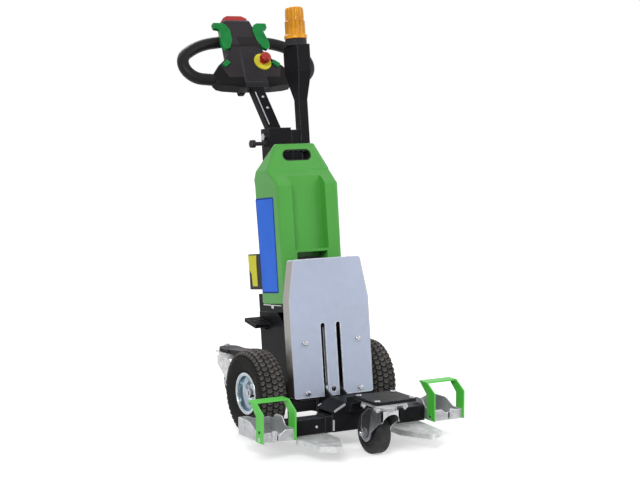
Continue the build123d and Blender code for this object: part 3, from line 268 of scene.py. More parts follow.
class TractorColours(bpy.types.PropertyGroup):
    """Colours of the tow tractor's main finishes."""

    case_green: bpy.props.FloatVectorProperty(
        name="Case green", description="Moulded battery case", subtype="COLOR", min=0, max=1,
        default=(0.085, 0.395, 0.062))
    hoop_green: bpy.props.FloatVectorProperty(
        name="Hoop green", description="Powder coat of the gripper hoops", subtype="COLOR", min=0, max=1,
        default=(0.075, 0.57, 0.050))
    lever_green: bpy.props.FloatVectorProperty(
        name="Lever green", description="Thumb levers and side keys", subtype="COLOR", min=0, max=1,
        default=(0.004, 0.22, 0.042))
    black_paint: bpy.props.FloatVectorProperty(
        name="Black paint", description="Powder coat of the column, chassis and hitch", subtype="COLOR",
        min=0, max=1, default=(0.0115, 0.0115, 0.0140))
    head_grey: bpy.props.FloatVectorProperty(
        name="Head charcoal", description="Moulded control head and boxes", subtype="COLOR", min=0, max=1,
        default=(0.036, 0.033, 0.037))
    zinc: bpy.props.FloatVectorProperty(
        name="Zinc", description="Bluish zinc of the front plate", subtype="COLOR", min=0, max=1,
        default=(0.44, 0.49, 0.62))
    label_blue: bpy.props.FloatVectorProperty(
        name="Label blue", description="Bare panel on the case's side", subtype="COLOR", min=0, max=1,
        default=(0.045, 0.19, 0.86))
    plate_yellow: bpy.props.FloatVectorProperty(
        name="Plate yellow", description="Bare plate on the status box, and the stop ring", subtype="COLOR",
        min=0, max=1, default=(0.76, 0.72, 0.06))
    lens_amber: bpy.props.FloatVectorProperty(
        name="Lens amber", description="Beacon lens", subtype="COLOR", min=0, max=1,
        default=(0.78, 0.33, 0.012))
    # Dusty brown of the block tops' wear, also used for the painted highlight along each block's lip
    tread_dust_and_glint: bpy.props.FloatVectorProperty(
        name="Tread dust", description="Worn tops of the tread blocks", subtype="COLOR", min=0, max=1,
        default=(0.255, 0.235, 0.225))


class TractorSizes(bpy.types.PropertyGroup):
    """Sizes of the tow tractor's tread, lens and stage."""

    tread_depth: bpy.props.FloatProperty(
        name="Tread depth", description="Depth of the grooves between the blocks", unit="LENGTH",
        min=0, max=0.01, default=0.0058)
    tread_row: bpy.props.FloatProperty(
        name="Tread row", description="Width of one row of blocks", unit="LENGTH",
        min=0.01, max=0.04, default=0.0195)
    tread_pitches: bpy.props.IntProperty(
        name="Tread pitches", description="Blocks round one row", min=12, max=90, default=46)
    lens_flute_shade: bpy.props.IntProperty(
        name="Lens flutes", description="Upright flutes round the beacon lens", min=6, max=48, default=14)
    floor_size: bpy.props.FloatProperty(
        name="Floor", description="Half width of the floor", unit="LENGTH", min=2, max=60, default=14.0)


def node(tree, kind, ins=(), **settings):
    """A shader node with its settings; an input is given a value, or a socket to link."""
    made = tree.nodes.new(kind)
    for key, value in settings.items():
        setattr(made, key, value)
    for key, value in dict(ins).items():
        if isinstance(value, bpy.types.NodeSocket):
            tree.links.new(value, made.inputs[key])
        else:
            made.inputs[key].default_value = value
    return made


def maths(tree, operation, *values):
    """The result of one operation on numbers or sockets."""
    return node(tree, "ShaderNodeMath", enumerate(values), operation=operation).outputs[0]


def vector_maths(tree, operation, output, *values):
    """The named result of one operation on vectors or sockets."""
    return node(tree, "ShaderNodeVectorMath", enumerate(values), operation=operation).outputs[output]


def stretch(tree, value, low, high, start, end):
    """A number's range low to high carried onto start to end, and held there."""
    return node(tree, "ShaderNodeMapRange", {0: value, 1: low, 2: high, 3: start, 4: end}).outputs[0]


def noise(tree, vector, scale, detail, roughness=0.5):
    """The value of a noise texture."""
    ins = {"Vector": vector, "Scale": scale, "Detail": detail, "Roughness": roughness}
    return node(tree, "ShaderNodeTexNoise", ins).outputs[0]


def mixed(tree, mask, first, second):
    """Two colours or sockets mixed by a mask."""
    ins = {0: mask}
    for spot, value in ((6, first), (7, second)):
        ins[spot] = value if isinstance(value, bpy.types.NodeSocket) else (*value, 1.0)
    return node(tree, "ShaderNodeMix", ins, data_type="RGBA").outputs[2]


def new_group(name, inputs, output):
    """A node group with a vector and named numbers in, and one number out."""
    tree = bpy.data.node_groups.new(name, "ShaderNodeTree")
    tree.interface.new_socket("Vector", in_out="INPUT", socket_type="NodeSocketVector")
    for label, value in inputs:
        tree.interface.new_socket(label, in_out="INPUT", socket_type="NodeSocketFloat").default_value = value
    tree.interface.new_socket(output, in_out="OUTPUT", socket_type="NodeSocketFloat")
    entry = tree.nodes.new("NodeGroupInput").outputs
    leave = tree.nodes.new("NodeGroupOutput").inputs[output]
    return tree, entry, leave


def make_groups():
    """The effects that several finishes share, each built once."""
    tree, entry, leave = new_group("Grain", (("Scale", 900.0),), "Height")
    tree.links.new(noise(tree, entry["Vector"], entry["Scale"], 3.0), leave)

    tree, entry, leave = new_group("Clouding", (("Scale", 8.0), ("Amount", 0.06)), "Value")
    cloud = noise(tree, entry["Vector"], entry["Scale"], 4.0)
    centred = stretch(tree, cloud, 0.3, 0.7, -1.0, 1.0)
    tree.links.new(maths(tree, "MULTIPLY_ADD", centred, entry["Amount"], 1.0), leave)

    tree, entry, leave = new_group("Floor dust", (("Reach", 0.2), ("Amount", 0.3)), "Mask")
    height = node(tree, "ShaderNodeSeparateXYZ", {0: entry["Vector"]}).outputs["Z"]
    near = stretch(tree, maths(tree, "DIVIDE", height, entry["Reach"]), 0.0, 1.0, 1.0, 0.0)
    patch = stretch(tree, noise(tree, entry["Vector"], 55.0, 5.0), 0.35, 0.65, 0.25, 1.0)
    both = maths(tree, "MULTIPLY", near, patch)
    tree.links.new(maths(tree, "MULTIPLY", both, entry["Amount"]), leave)

    tree, entry, leave = new_group("Scuffs", (("Scale", 40.0), ("Amount", 0.3)), "Mask")
    ins = {"Vector": entry["Vector"], "Rotation": (0.4, 0.2, 0.9), "Scale": (1.0, 0.12, 0.5)}
    drawn = node(tree, "ShaderNodeMapping", ins).outputs[0]
    thin = stretch(tree, noise(tree, drawn, entry["Scale"], 6.0, 0.7), 0.60, 0.72, 0.0, 1.0)
    tree.links.new(maths(tree, "MULTIPLY", thin, entry["Amount"]), leave)

    # Edge glint: a painted highlight along edges, where the Bevel normal turns away from the surface's normal,
    # broken up by a chip noise
    tree, entry, leave = new_group("Edge wear", (("Radius", 0.002), ("Amount", 0.5)), "Mask")
    soft = node(tree, "ShaderNodeBevel", {"Radius": entry["Radius"]}, samples=6).outputs[0]
    flat = node(tree, "ShaderNodeNewGeometry").outputs["Normal"]
    along = vector_maths(tree, "DOT_PRODUCT", "Value", soft, flat)
    edge = stretch(tree, along, 0.985, 0.90, 0.0, 1.0)
    chip = stretch(tree, noise(tree, entry["Vector"], 70.0, 4.0), 0.35, 0.60, 0.35, 1.0)
    wear_and_glint = maths(tree, "MULTIPLY", edge, chip)
    tree.links.new(maths(tree, "MULTIPLY", wear_and_glint, entry["Amount"]), leave)

    tree, entry, leave = new_group("Spangle", (("Scale", 60.0),), "Value")
    ins = {"Vector": entry["Vector"], "Scale": entry["Scale"], "Randomness": 1.0}
    cell = node(tree, "ShaderNodeTexVoronoi", ins).outputs["Color"]
    tree.links.new(node(tree, "ShaderNodeSeparateColor", {0: cell}).outputs[0], leave)


def effect(tree, name, vector, **values):
    """One shared effect placed in a material, with its own values."""
    made = node(tree, "ShaderNodeGroup", node_tree=bpy.data.node_groups[name])
    tree.links.new(vector, made.inputs["Vector"])
    for key, value in values.items():
        made.inputs[key.capitalize()].default_value = value
    return made.outputs[0]


def fresh(name):
    """A new node material, in the place of an imported plain one of the same name."""
    plain = bpy.data.materials.get(name)
    if plain:
        bpy.data.materials.remove(plain)
    made = bpy.data.materials.new(name)
    made.use_nodes = True
    return made


def parts_of(name):
    """A material's node tree, its Principled shader and its Object coordinates."""
    tree = bpy.data.materials[name].node_tree
    return tree, tree.nodes["Principled BSDF"], tree.nodes.new("ShaderNodeTexCoord").outputs["Object"]


def bumped(tree, shader, height, strength):
    """A height in millimetres that bends a shader's normal."""
    bump = node(tree, "ShaderNodeBump", {"Height": height, "Strength": strength, "Distance": 0.001})
    tree.links.new(bump.outputs[0], shader.inputs["Normal"])


def overlay(tree, mask, colour):
    """A second colour or socket laid over a finish's own where a mask is high."""
    socket = tree.nodes["Principled BSDF"].inputs["Base Color"]
    tree.links.new(mixed(tree, mask, socket.links[0].from_socket, colour), socket)


DUST = (0.20, 0.18, 0.155)
WALL_BLACK = (0.021, 0.0205, 0.020)
# Pale colour of the painted highlight along dark edges
PALE_EDGE_GLINT = (0.11, 0.11, 0.12)
# Reach and amount of floor dust on a finish that has none
CLEAN = (0.2, 0.0)
# How far the roughness sways, on a grain of this share of the fine one's scale
SWAY = 0.14
BROAD_SHARE = 0.03
COAT_ROUGHNESS = 0.12


def finish(name, colour, rough, metal=0.0, grain=(900.0, 0.04), cloud=(9.0, 0.08), dust=(0.2, 0.2),
           scuff=None, spangle=None, edge=None, coat=0.0, gloss=0.5):
    """A painted, moulded or plated finish: colour clouded and dusted, roughness swayed, bumped by grain.
    grain is (scale, strength), cloud (scale, amount), dust (reach in metres, amount), scuff (amount, colour),
    spangle (amount, scale) and edge (amount, colour, width in metres), a painted highlight along the edges
    broken up by chips."""
    fresh(name).diffuse_color = (*colour, 1.0)
    tree, shader, vector = parts_of(name)
    value = effect(tree, "Clouding", vector, scale=cloud[0], amount=cloud[1])
    if spangle:
        cell = effect(tree, "Spangle", vector, scale=spangle[1])
        value = maths(tree, "MULTIPLY_ADD", cell, spangle[0], value)
    tint = node(tree, "ShaderNodeHueSaturation", {"Value": value, "Color": (*colour, 1.0)}).outputs[0]
    if scuff:
        tint = mixed(tree, effect(tree, "Scuffs", vector, amount=scuff[0]), tint, scuff[1])
    # Painted highlight along the edges, in the edge colour
    if edge:
        wear_and_glint = effect(tree, "Edge wear", vector, radius=edge[2], amount=edge[0])
        tint = mixed(tree, wear_and_glint, tint, edge[1])
    if dust[1]:
        tint = mixed(tree, effect(tree, "Floor dust", vector, reach=dust[0], amount=dust[1]), tint, DUST)
    tree.links.new(tint, shader.inputs["Base Color"])
    shader.inputs["Specular IOR Level"].default_value = gloss
    shader.inputs["Metallic"].default_value = metal
    broad = effect(tree, "Grain", vector, scale=grain[0] * BROAD_SHARE)
    tree.links.new(maths(tree, "MULTIPLY_ADD", broad, SWAY, rough - SWAY / 2), shader.inputs["Roughness"])
    bumped(tree, shader, effect(tree, "Grain", vector, scale=grain[0]), grain[1])
    if coat:
        shader.inputs["Coat Weight"].default_value = coat
        shader.inputs["Coat Roughness"].default_value = COAT_ROUGHNESS


# Each edge entry paints a highlight along the edges in its colour
FINISHES = (
    ("black_steel", "black_paint", 0.42, dict(
        grain=(420.0, 0.10), scuff=(0.08, (0.10, 0.10, 0.10)), dust=(0.3, 0.04), gloss=0.06,
        edge=(0.8, PALE_EDGE_GLINT, 0.004))),
    ("zinc_plate", "zinc", 0.42, dict(
        metal=0.25, grain=(300.0, 0.03), cloud=(5.0, 0.06), scuff=(0.10, (0.42, 0.45, 0.52)),
        dust=(0.25, 0.08), spangle=(0.04, 45.0), gloss=0.16,
        edge=(1.0, (0.90, 0.91, 0.93), 0.006))),
    ("galvanised", (0.40, 0.405, 0.42), 0.34, dict(
        metal=0.55, grain=(260.0, 0.05), cloud=(14.0, 0.16), scuff=(0.30, (0.15, 0.15, 0.16)),
        dust=(0.10, 0.10), spangle=(0.30, 90.0), gloss=0.15,
        edge=(1.0, (0.84, 0.85, 0.87), 0.005))),
    ("raw_steel", (0.64, 0.645, 0.65), 0.40, dict(
        metal=0.25, grain=(240.0, 0.06), cloud=(40.0, 0.22), scuff=(0.3, (0.34, 0.34, 0.36)),
        dust=(0.06, 0.06), spangle=(0.16, 110.0), gloss=0.15,
        edge=(0.9, (0.86, 0.87, 0.88), 0.004))),
    ("fork_steel", (0.34, 0.345, 0.355), 0.28, dict(
        metal=0.80, grain=(260.0, 0.04), cloud=(22.0, 0.22), scuff=(0.3, (0.10, 0.10, 0.11)),
        dust=(0.06, 0.06), gloss=0.15, edge=(0.9, (0.80, 0.81, 0.83), 0.003))),
    # Pale bright steel: the tray latch's wires, the arm's screws, and the thin strips that paint highlights on
    # the hitch box's gables and along the arm
    ("worn_edge", (0.74, 0.745, 0.76), 0.30, dict(
        metal=0.30, grain=(260.0, 0.04), cloud=(30.0, 0.12), gloss=0.3)),
    # Dark steel that paints shade: the guide rods inside the front plate's slots and the dark sheets on the
    # front fork's legs
    ("dark_steel", (0.070, 0.070, 0.075), 0.36, dict(
        metal=0.5, grain=(260.0, 0.06), cloud=(24.0, 0.20), dust=(0.06, 0.10), gloss=0.12)),
    ("bright_steel", (0.46, 0.47, 0.50), 0.22, dict(
        metal=1.0, grain=(260.0, 0.03), cloud=(40.0, 0.16),
        edge=(0.6, (0.80, 0.81, 0.83), 0.0015))),
    ("rim_silver", (0.56, 0.61, 0.63), 0.18, dict(metal=0.85, grain=(200.0, 0.02), cloud=(12.0, 0.14))),
    ("cast_housing", (0.030, 0.030, 0.034), 0.58, dict(grain=(320.0, 0.35), cloud=(20.0, 0.15), gloss=0.10)),
    ("green_case", "case_green", 0.22, dict(grain=(650.0, 0.05), cloud=(6.0, 0.07), dust=CLEAN, gloss=0.30)),
    ("green_paint", "hoop_green", 0.34, dict(
        grain=(420.0, 0.07), scuff=(0.12, (0.20, 0.42, 0.16)), gloss=0.34,
        edge=(0.5, (0.26, 0.72, 0.18), 0.004))),
    ("green_lever", "lever_green", 0.20, dict(
        grain=(800.0, 0.02), cloud=(24.0, 0.25), dust=CLEAN, gloss=0.20,
        edge=(0.5, (0.10, 0.48, 0.16), 0.004))),
    ("black_plastic", "head_grey", 0.48, dict(
        grain=(1100.0, 0.12), cloud=(7.0, 0.10), dust=CLEAN, gloss=0.09,
        edge=(0.5, PALE_EDGE_GLINT, 0.005))),
    ("head_shell", "head_grey", 0.46, dict(
        grain=(1100.0, 0.12), cloud=(7.0, 0.10), dust=CLEAN, gloss=0.09,
        edge=(0.5, (0.11, 0.11, 0.115), 0.005))),
    ("grip_rubber", (0.011, 0.011, 0.012), 0.42, dict(grain=(1300.0, 0.16), dust=CLEAN, gloss=0.16)),
    ("tyre_rubber", (0.016, 0.015, 0.015), 0.75, dict(grain=(700.0, 0.25), dust=(0.1, 0.2), gloss=0.06)),
    ("castor_rubber", (0.042, 0.042, 0.043), 0.50, dict(
        grain=(600.0, 0.2), cloud=(30.0, 0.30), dust=(0.05, 0.14), gloss=0.08)),
    ("red_plastic", (0.44, 0.022, 0.018), 0.22, dict(grain=(900.0, 0.02), dust=CLEAN, gloss=0.40)),
    ("yellow_plastic", "plate_yellow", 0.36, dict(grain=(900.0, 0.02), dust=CLEAN, gloss=0.07)),
    ("blue_label", "label_blue", 0.34, dict(grain=(500.0, 0.02), cloud=(10.0, 0.06), dust=CLEAN, gloss=0.05)),
    ("blue_border", (0.010, 0.040, 0.30), 0.34, dict(grain=(500.0, 0.02), dust=CLEAN, gloss=0.05)),
    ("seam_brown", (0.055, 0.020, 0.016), 0.5, dict(grain=(900.0, 0.04), dust=CLEAN, gloss=0.08)),
    ("amber_lens", "lens_amber", 0.13, dict(
        grain=(500.0, 0.02), cloud=(45.0, 0.22), dust=CLEAN, gloss=0.18, coat=0.08)),
)

# Nodes whose finish isn't the one that their slot names
OWN_FINISH = {
    # The guide rods get a dark steel that paints the shade inside the front plate's slots
    "tiller_head": "head_shell", "lift_actuator": "black_steel", "guide_rods": "dark_steel",
    "left_fork_plate": "raw_steel", "right_fork_plate": "raw_steel",
    "front_castor_fork": "fork_steel", "rear_castor_fork": "raw_steel",
}


def tyre_finish(dust_and_glint_colour):
    """Tyre rubber: black walls, block tops with dusty brown wear, and a painted highlight in the same brown
    along one lip of each block, where the attribute 'mark' is high.
    """
    fresh("tread_rubber")
    tree, shader, vector = parts_of("tread_rubber")
    top = node(tree, "ShaderNodeAttribute", attribute_name="mark").outputs["Fac"]
    patch = effect(tree, "Clouding", vector, scale=26.0, amount=0.45)
    tint = mixed(tree, maths(tree, "MULTIPLY", top, patch), WALL_BLACK, dust_and_glint_colour)
    tint = mixed(tree, effect(tree, "Floor dust", vector, reach=0.06, amount=0.15), tint, DUST)
    tree.links.new(tint, shader.inputs["Base Color"])
    shader.inputs["Specular IOR Level"].default_value = 0.07
    tree.links.new(stretch(tree, patch, 0.5, 1.5, 0.62, 0.85), shader.inputs["Roughness"])
    bumped(tree, shader, effect(tree, "Grain", vector, scale=700.0), 0.25)


# Masks of colours laid over a finish, each faded from its first number to its second, in metres
BARREL_FROM_DISC = (0.040, 0.046)
BARREL_TO_EDGE = (0.0565, 0.0545)
# Painted shade on the rim's recessed barrel
BARREL_SHADE_GREY = (0.34, 0.43, 0.49)
PLATE_NARROWS = (0.410, 0.530)
PLATE_NARROWING = 0.0210
FLANGE_BEND = (0.1325, 0.1340)
# Painted shade on the front plate's flanges: a duller grey, darker low down by the tyres
FLANGE_SHADE_GREY = (0.43, 0.41, 0.385)
TYRE_SHADE_FADE = (0.30, 0.185)
TYRE_SHADE = (0.022, 0.020, 0.019)
# Painted shade in the lens's flutes and tier groove
FLUTE_SHADE_AMBER = (0.46, 0.15, 0.003)
SEAM_SLANT = -0.393
SEAM_LINE = (0.0590, 0.0594)
# Painted shade along the head's lower front band, in the grip rubber's black
SHADE_BAND_TOP = (0.0772, 0.0768)
SHADE_BAND_SIDE = (0.0402, 0.0406)
HEAD_RUBBER_AND_SHADE = (0.010, 0.010, 0.011)


def rim_barrel_shade():
    """Silver rim: painted shade, a deep blue-grey on the recessed barrel between the bright disc and edge.
    The distance from the axle line is the length of the place's part across the axle; the barrel is a band
    of it."""
    tree, _, vector = parts_of("rim_silver")
    arm = vector_maths(tree, "SUBTRACT", "Vector", vector, (0, AXLE_Y, AXLE_Z))
    arm = vector_maths(tree, "MULTIPLY", "Vector", arm, (0, 1, 1))
    out = vector_maths(tree, "LENGTH", "Value", arm)
    past_disc = stretch(tree, out, *BARREL_FROM_DISC, 0.0, 1.0)
    before_edge = stretch(tree, out, *BARREL_TO_EDGE, 0.0, 1.0)
    overlay(tree, maths(tree, "MULTIPLY", past_disc, before_edge), BARREL_SHADE_GREY)


def flange_shade():
    """Zinc front plate: painted shade on its two side-facing flanges, a duller, warmer grey that turns dark low
    down by the tyres. A flange is where the way across, without its sign and with the top's narrowing added, is
    past the plate's bend; the dark shade fades with height."""
    tree, _, vector = parts_of("zinc_plate")
    parts = node(tree, "ShaderNodeSeparateXYZ", {0: vector}).outputs
    narrowing = stretch(tree, parts["Z"], *PLATE_NARROWS, 0.0, PLATE_NARROWING)
    full = maths(tree, "ADD", maths(tree, "ABSOLUTE", parts["X"]), narrowing)
    flange = stretch(tree, full, *FLANGE_BEND, 0.0, 1.0)
    patch = effect(tree, "Clouding", vector, scale=22.0, amount=0.10)
    tyre_shade = stretch(tree, maths(tree, "MULTIPLY", parts["Z"], patch), *TYRE_SHADE_FADE, 0.0, 0.95)
    overlay(tree, flange, mixed(tree, tyre_shade, FLANGE_SHADE_GREY, TYRE_SHADE))


def lens_flute_shade():
    """Amber lens: painted shade, a deeper amber in the flutes and the groove between the tiers, where the
    attribute 'mark' is low.
    """
    tree = bpy.data.materials["amber_lens"].node_tree
    ridge = node(tree, "ShaderNodeAttribute", attribute_name="mark").outputs["Fac"]
    overlay(tree, maths(tree, "SUBTRACT", 1.0, ridge), FLUTE_SHADE_AMBER)


def head_rubber_and_shade():
    """Control head: black rubber past the grip seam, and painted shade in the same black along the lower front
    band.
    The way along the head is the dot product of the place with the head's long axis; the seam is a slanted
    line."""
    tree, _, vector = parts_of("head_shell")
    origin, rows = HEAD
    way = vector_maths(tree, "DOT_PRODUCT", "Value", vector, tuple(rows[2]))
    way = maths(tree, "SUBTRACT", way, float(origin @ rows[2]))
    out = maths(tree, "ABSOLUTE", node(tree, "ShaderNodeSeparateXYZ", {0: vector}).outputs["X"])
    slant = maths(tree, "MULTIPLY_ADD", way, SEAM_SLANT, out)
    past = stretch(tree, slant, *SEAM_LINE, 0.0, 1.0)
    low = stretch(tree, way, *SHADE_BAND_TOP, 0.0, 1.0)
    wide = stretch(tree, out, *SHADE_BAND_SIDE, 0.0, 1.0)
    # Rubber past the seam, and painted shade on the lower front band
    rubber = maths(tree, "MAXIMUM", past, maths(tree, "MULTIPLY", low, wide))
    overlay(tree, rubber, HEAD_RUBBER_AND_SHADE)


class TOWTRACTOR_OT_finishes(bpy.types.Operator):
    """Make every finish and give each CAD node the one that its slot names, or its own"""

    bl_idname = "towtractor.finishes"
    bl_label = "Finishes"

    def execute(self, context):
        colours = context.scene.tractor_colours
        make_groups()
        for name, colour, rough, rest in FINISHES:
            own = getattr(colours, colour) if isinstance(colour, str) else colour
            finish(name, tuple(own), rough, **rest)
        rim_barrel_shade()
        flange_shade()
        lens_flute_shade()
        head_rubber_and_shade()
        tyre_finish(tuple(colours.tread_dust_and_glint))
        for row in frame["record"]["subparts"]:
            mesh = frame["nodes"][row["node"]].data
            mesh.materials.clear()
            mesh.materials.append(bpy.data.materials[OWN_FINISH.get(row["node"], row["material_slot"])])
        return {"FINISHED"}


def arc(first, middle, last, count):
    """Points along the circle through three points, from the first to the last, by equal angles."""
    a, b, c = (np.asarray(p, float) for p in (first, middle, last))
    lhs = 2 * np.array([b - a, c - a])
    centre = np.linalg.solve(lhs, [b @ b - a @ a, c @ c - a @ a])
    angles = np.unwrap([math.atan2(*(p - centre)[::-1]) for p in (a, b, c)])
    turn = np.linspace(angles[0], angles[2], count)
    return centre + np.linalg.norm(a - centre) * np.column_stack([np.cos(turn), np.sin(turn)])


def rise(low, high, value):
    """A smooth step from 0 at low to 1 at high: t squared times (3 - 2t)."""
    t = np.clip((value - low) / (high - low), 0, 1)
    return t * t * (3 - 2 * t)


def bell(value, middle, width):
    """A bell curve: e to the minus square of the distance from its middle over its width."""
    return np.exp(-((value - middle) / width) ** 2)


# Tyre section as (half width, radius): bead, widest point of the wall, shoulder, crown, and the bead seat
BEAD = (0.029, 0.064)
WALL = (0.0425, 0.0945)
SHOULDER = (0.037, 0.121)
CROWN = (0.0, 0.130)
SEAT_RADIUS = 0.0562
WALL_MIDDLE = 0.09
# Wall ribs: height, and radius and width of each
RIB_HEIGHT = 0.0007
RIBS = ((0.073, 0.0012), (0.101, 0.0014))
# Blocks, in pitches round the tyre and rows across it: their bow, where they fade, and the middle and width
# of the painted highlight along each block's lip
STEPS_PER_BLOCK = 12
BLOCK_BOW = 0.496
BLOCK_ROUND = (0.385, 0.31)
BLOCK_ACROSS = (0.445, 0.37)
LIP = (0.20, 0.065)
# Where tread, wear and painted highlight fade along the section, how strong the wear on the tops is, and how
# strong the painted highlight on the lips is
TREAD_END = (0.0545, 0.052)
WEAR_AND_GLINT_END = (0.056, 0.036)
TOP_WEAR = 0.24
LIP_GLINT = 0.90


def tyre_surface(sizes):
    """Tyre as a grid of angle by section point, about the X axis, with the block mark at each point.
    The section is bead, wall arc, crown arc, wall arc; s is the length along it from the crown's middle.
    A block is where the way round, bowed by the square of the way across its row, lies inside its pitch.
    Points outside the blocks sink by the tread depth along the section's normal; two ribs stand on each
    wall."""
    wall = arc(BEAD, WALL, SHOULDER, 20)
    crown = arc(SHOULDER, CROWN, np.multiply(SHOULDER, MIRROR), 58)
    half = np.concatenate([wall, crown[1:-1], wall[::-1] * MIRROR])
    section = np.concatenate([half, [(x, SEAT_RADIUS) for x in (-BEAD[0], 0, BEAD[0])]])
    s = np.concatenate([[0], np.cumsum(np.linalg.norm(np.diff(half, axis=0), axis=1))])
    s -= s[-1] / 2
    tangent = np.gradient(half, axis=0)
    tangent /= np.linalg.norm(tangent, axis=1, keepdims=True)
    normal = np.column_stack([-tangent[:, 1], tangent[:, 0]])
    normal *= np.sign(normal[:, 1:] * (half[:, 1:] - WALL_MIDDLE) + normal[:, :1] * half[:, :1])
    angle = np.linspace(0, FULL_TURN, sizes.tread_pitches * STEPS_PER_BLOCK + 1)
    row = np.round(s / sizes.tread_row)
    across = s / sizes.tread_row - row
    start = 0.5 * (row % 2) - BLOCK_BOW * (2 * across) ** 2
    along = (angle[:, None] / FULL_TURN * sizes.tread_pitches + start) % 1
    block = rise(*BLOCK_ROUND, np.abs(along - 0.5)) * rise(*BLOCK_ACROSS, np.abs(across))
    lip = block * bell(along, *LIP)
    zone = rise(*TREAD_END, np.abs(s))
    sink = sizes.tread_depth * (1 - block) * zone
    ribs = RIB_HEIGHT * sum(bell(half[:, 1], *rib) for rib in RIBS)
    points = np.repeat(section[None], len(angle), axis=0)
    points[:, :len(half)] += (ribs - sink)[..., None] * normal
    mark = np.zeros(points.shape[:2])
    # The mark: dusty wear on the block tops plus a painted highlight along one lip of each block
    wear_and_glint = np.minimum(TOP_WEAR * block + LIP_GLINT * lip, 1)
    mark[:, :len(half)] = wear_and_glint * zone * rise(*WEAR_AND_GLINT_END, np.abs(s))
    return about_axle(points[..., 0], points[..., 1], angle), mark


class TOWTRACTOR_OT_tyres(bpy.types.Operator):
    """Drive tyres with rows of crescent tread blocks, in the place of the plain CAD tyres"""

    bl_idname = "towtractor.tyres"
    bl_label = "Drive tyres"

    def execute(self, context):
        grid, mark = tyre_surface(context.scene.tractor_sizes)
        for side, sign in SIDES:
            centre = (sign * WHEEL_X, AXLE_Y, AXLE_Z)
            made = piece(f"{side}_treaded_tyre", [grid + centre], f"{side}_wheel", "tyre_rubber",
                         material="tread_rubber", crease=50.0, marks=mark)
            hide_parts(f"{side}_tyre")
        return {"FINISHED"}


# Wheel trim, as ways out of the wheel's middle plane and radii about the axle
NUT_CIRCLE = 0.033
NUT_TURN = 0.4
NUT_OUT = 0.005
SHAFT_NUT_OUT = 0.012
RIM_EDGE_RADIUS = 0.0600
RIM_EDGE_OUT = 0.0331
RIM_EDGE_ROUND = 0.0027
VALVE_OUT = 0.0145
VALVE_Y = -0.0465


class TOWTRACTOR_OT_wheel_trim(bpy.types.Operator):
    """Wheel nuts, shaft nuts, rolled rim edges and valves on the drive wheels"""

    bl_idname = "towtractor.wheel_trim"
    bl_label = "Wheel trim"

    def execute(self, context):
        turns = np.linspace(0, FULL_TURN, 4, endpoint=False) + NUT_TURN
        ring = np.linspace(0, FULL_TURN, 20, endpoint=False)
        radius = RIM_EDGE_RADIUS + RIM_EDGE_ROUND * np.cos(ring)
        reach = RIM_EDGE_OUT + RIM_EDGE_ROUND * np.sin(ring)
        around = np.linspace(0, FULL_TURN, 97)
        for side, sign in SIDES:
            middle = np.array([sign * WHEEL_X, AXLE_Y, AXLE_Z])
            out = (sign, 0, 0)
            nuts = []
            for turn in turns:
                y, z = NUT_CIRCLE * math.cos(turn), NUT_CIRCLE * math.sin(turn)
                nuts.append((middle + (sign * NUT_OUT, y, z), out))
            grids = copies(turned(WHEEL_NUT, 24, 6), nuts)
            grids += copies(turned(COTTER_NUT, 24, 6), [(middle + (sign * SHAFT_NUT_OUT, 0, 0), out)])
            piece(f"{side}_wheel_nuts", grids, f"{side}_wheel", "bright_steel")
            bead = about_axle(sign * reach, radius, around)
            piece(f"{side}_rim_edge", [bead + middle], f"{side}_wheel", "rim_silver")
            foot = middle + (sign * VALVE_OUT, VALVE_Y, 0.0)
            stem = copies(turned(VALVE_STEM, 16), [(foot, (sign, 0.25, 0))])
            piece(f"{side}_valve", stem, f"{side}_wheel", "grip_rubber")
        return {"FINISHED"}


FRONT_PLATE_BOLTS = both_sides(0.090, (0,), (0.142, 0.288))
# Plates behind the front plate: outline (width, height, corner) and place (x, depth, height); the flaps are
# dark sheets that paint the shade behind the plate and beside the tyres
EAR = ((0.072, 0.024, 0.004), (0.056, 0.043, 0.347))
SHADE_FLAPS = (
    ((0.076, 0.056, 0.006), (0.0975, 0.0115, 0.118)),
    ((0.024, 0.106, 0.006), (0.1285, 0.0375, 0.093)),
)
EAR_THICK = 0.003
SHADE_FLAP_THICK = 0.002


class TOWTRACTOR_OT_front_plate_trim(bpy.types.Operator):
    """Bolts with washers on the zinc front plate, frame ears, and dark flaps behind it that paint the shade
    there
    """

    bl_idname = "towtractor.front_plate_trim"
    bl_label = "Front plate trim"

    def execute(self, context):
        bolts = fasteners(PLATE_BOLT, LEANED, FRONT_PLATE_BOLTS, FORWARD)
        piece("front_plate_bolts", bolts, "chassis", "bright_steel")
        for side, sign in SIDES:
            ear = plate_points(rounded(*EAR[0]), EAR_THICK, LEANED, on_side(sign, EAR[1]), (0, sign, 0))
            piece(f"{side}_frame_ear", [ear], "chassis", "black_steel")
            # Dark rubber sheets that paint the shade behind the plate and beside the tyres
            shade_flaps = [plate_points(rounded(*outline), SHADE_FLAP_THICK, LEANED, on_side(sign, middle))
                    for outline, middle in SHADE_FLAPS]
            piece(f"{side}_mud_flap", shade_flaps, "chassis", "grip_rubber")
        return {"FINISHED"}


def evenly(outline, count):
    """A closed outline taken again at equal steps along its length."""
    closed = np.concatenate([outline, outline[:1]])
    way = np.concatenate([[0], np.cumsum(np.linalg.norm(np.diff(closed, axis=0), axis=1))])
    steps = np.linspace(0, way[-1], count, endpoint=False)
    return np.column_stack([np.interp(steps, way, closed[:, k]) for k in (0, 1)])


# Hand slot's liner: depth of its front and back, height of its middle, slope of its front, finger waves
LINER_FRONT = 0.1415
LINER_BACK = 0.1780
LINER_HEIGHT = 0.845
LINER_LEAN = 0.175
LINER_OUTER = (0.0974, 0.0334, 0.0166)
LINER_INNER = (0.0900, 0.0262, 0.0130)
FINGER_WIDTH = 0.018
FINGER_WAVE = 0.0016


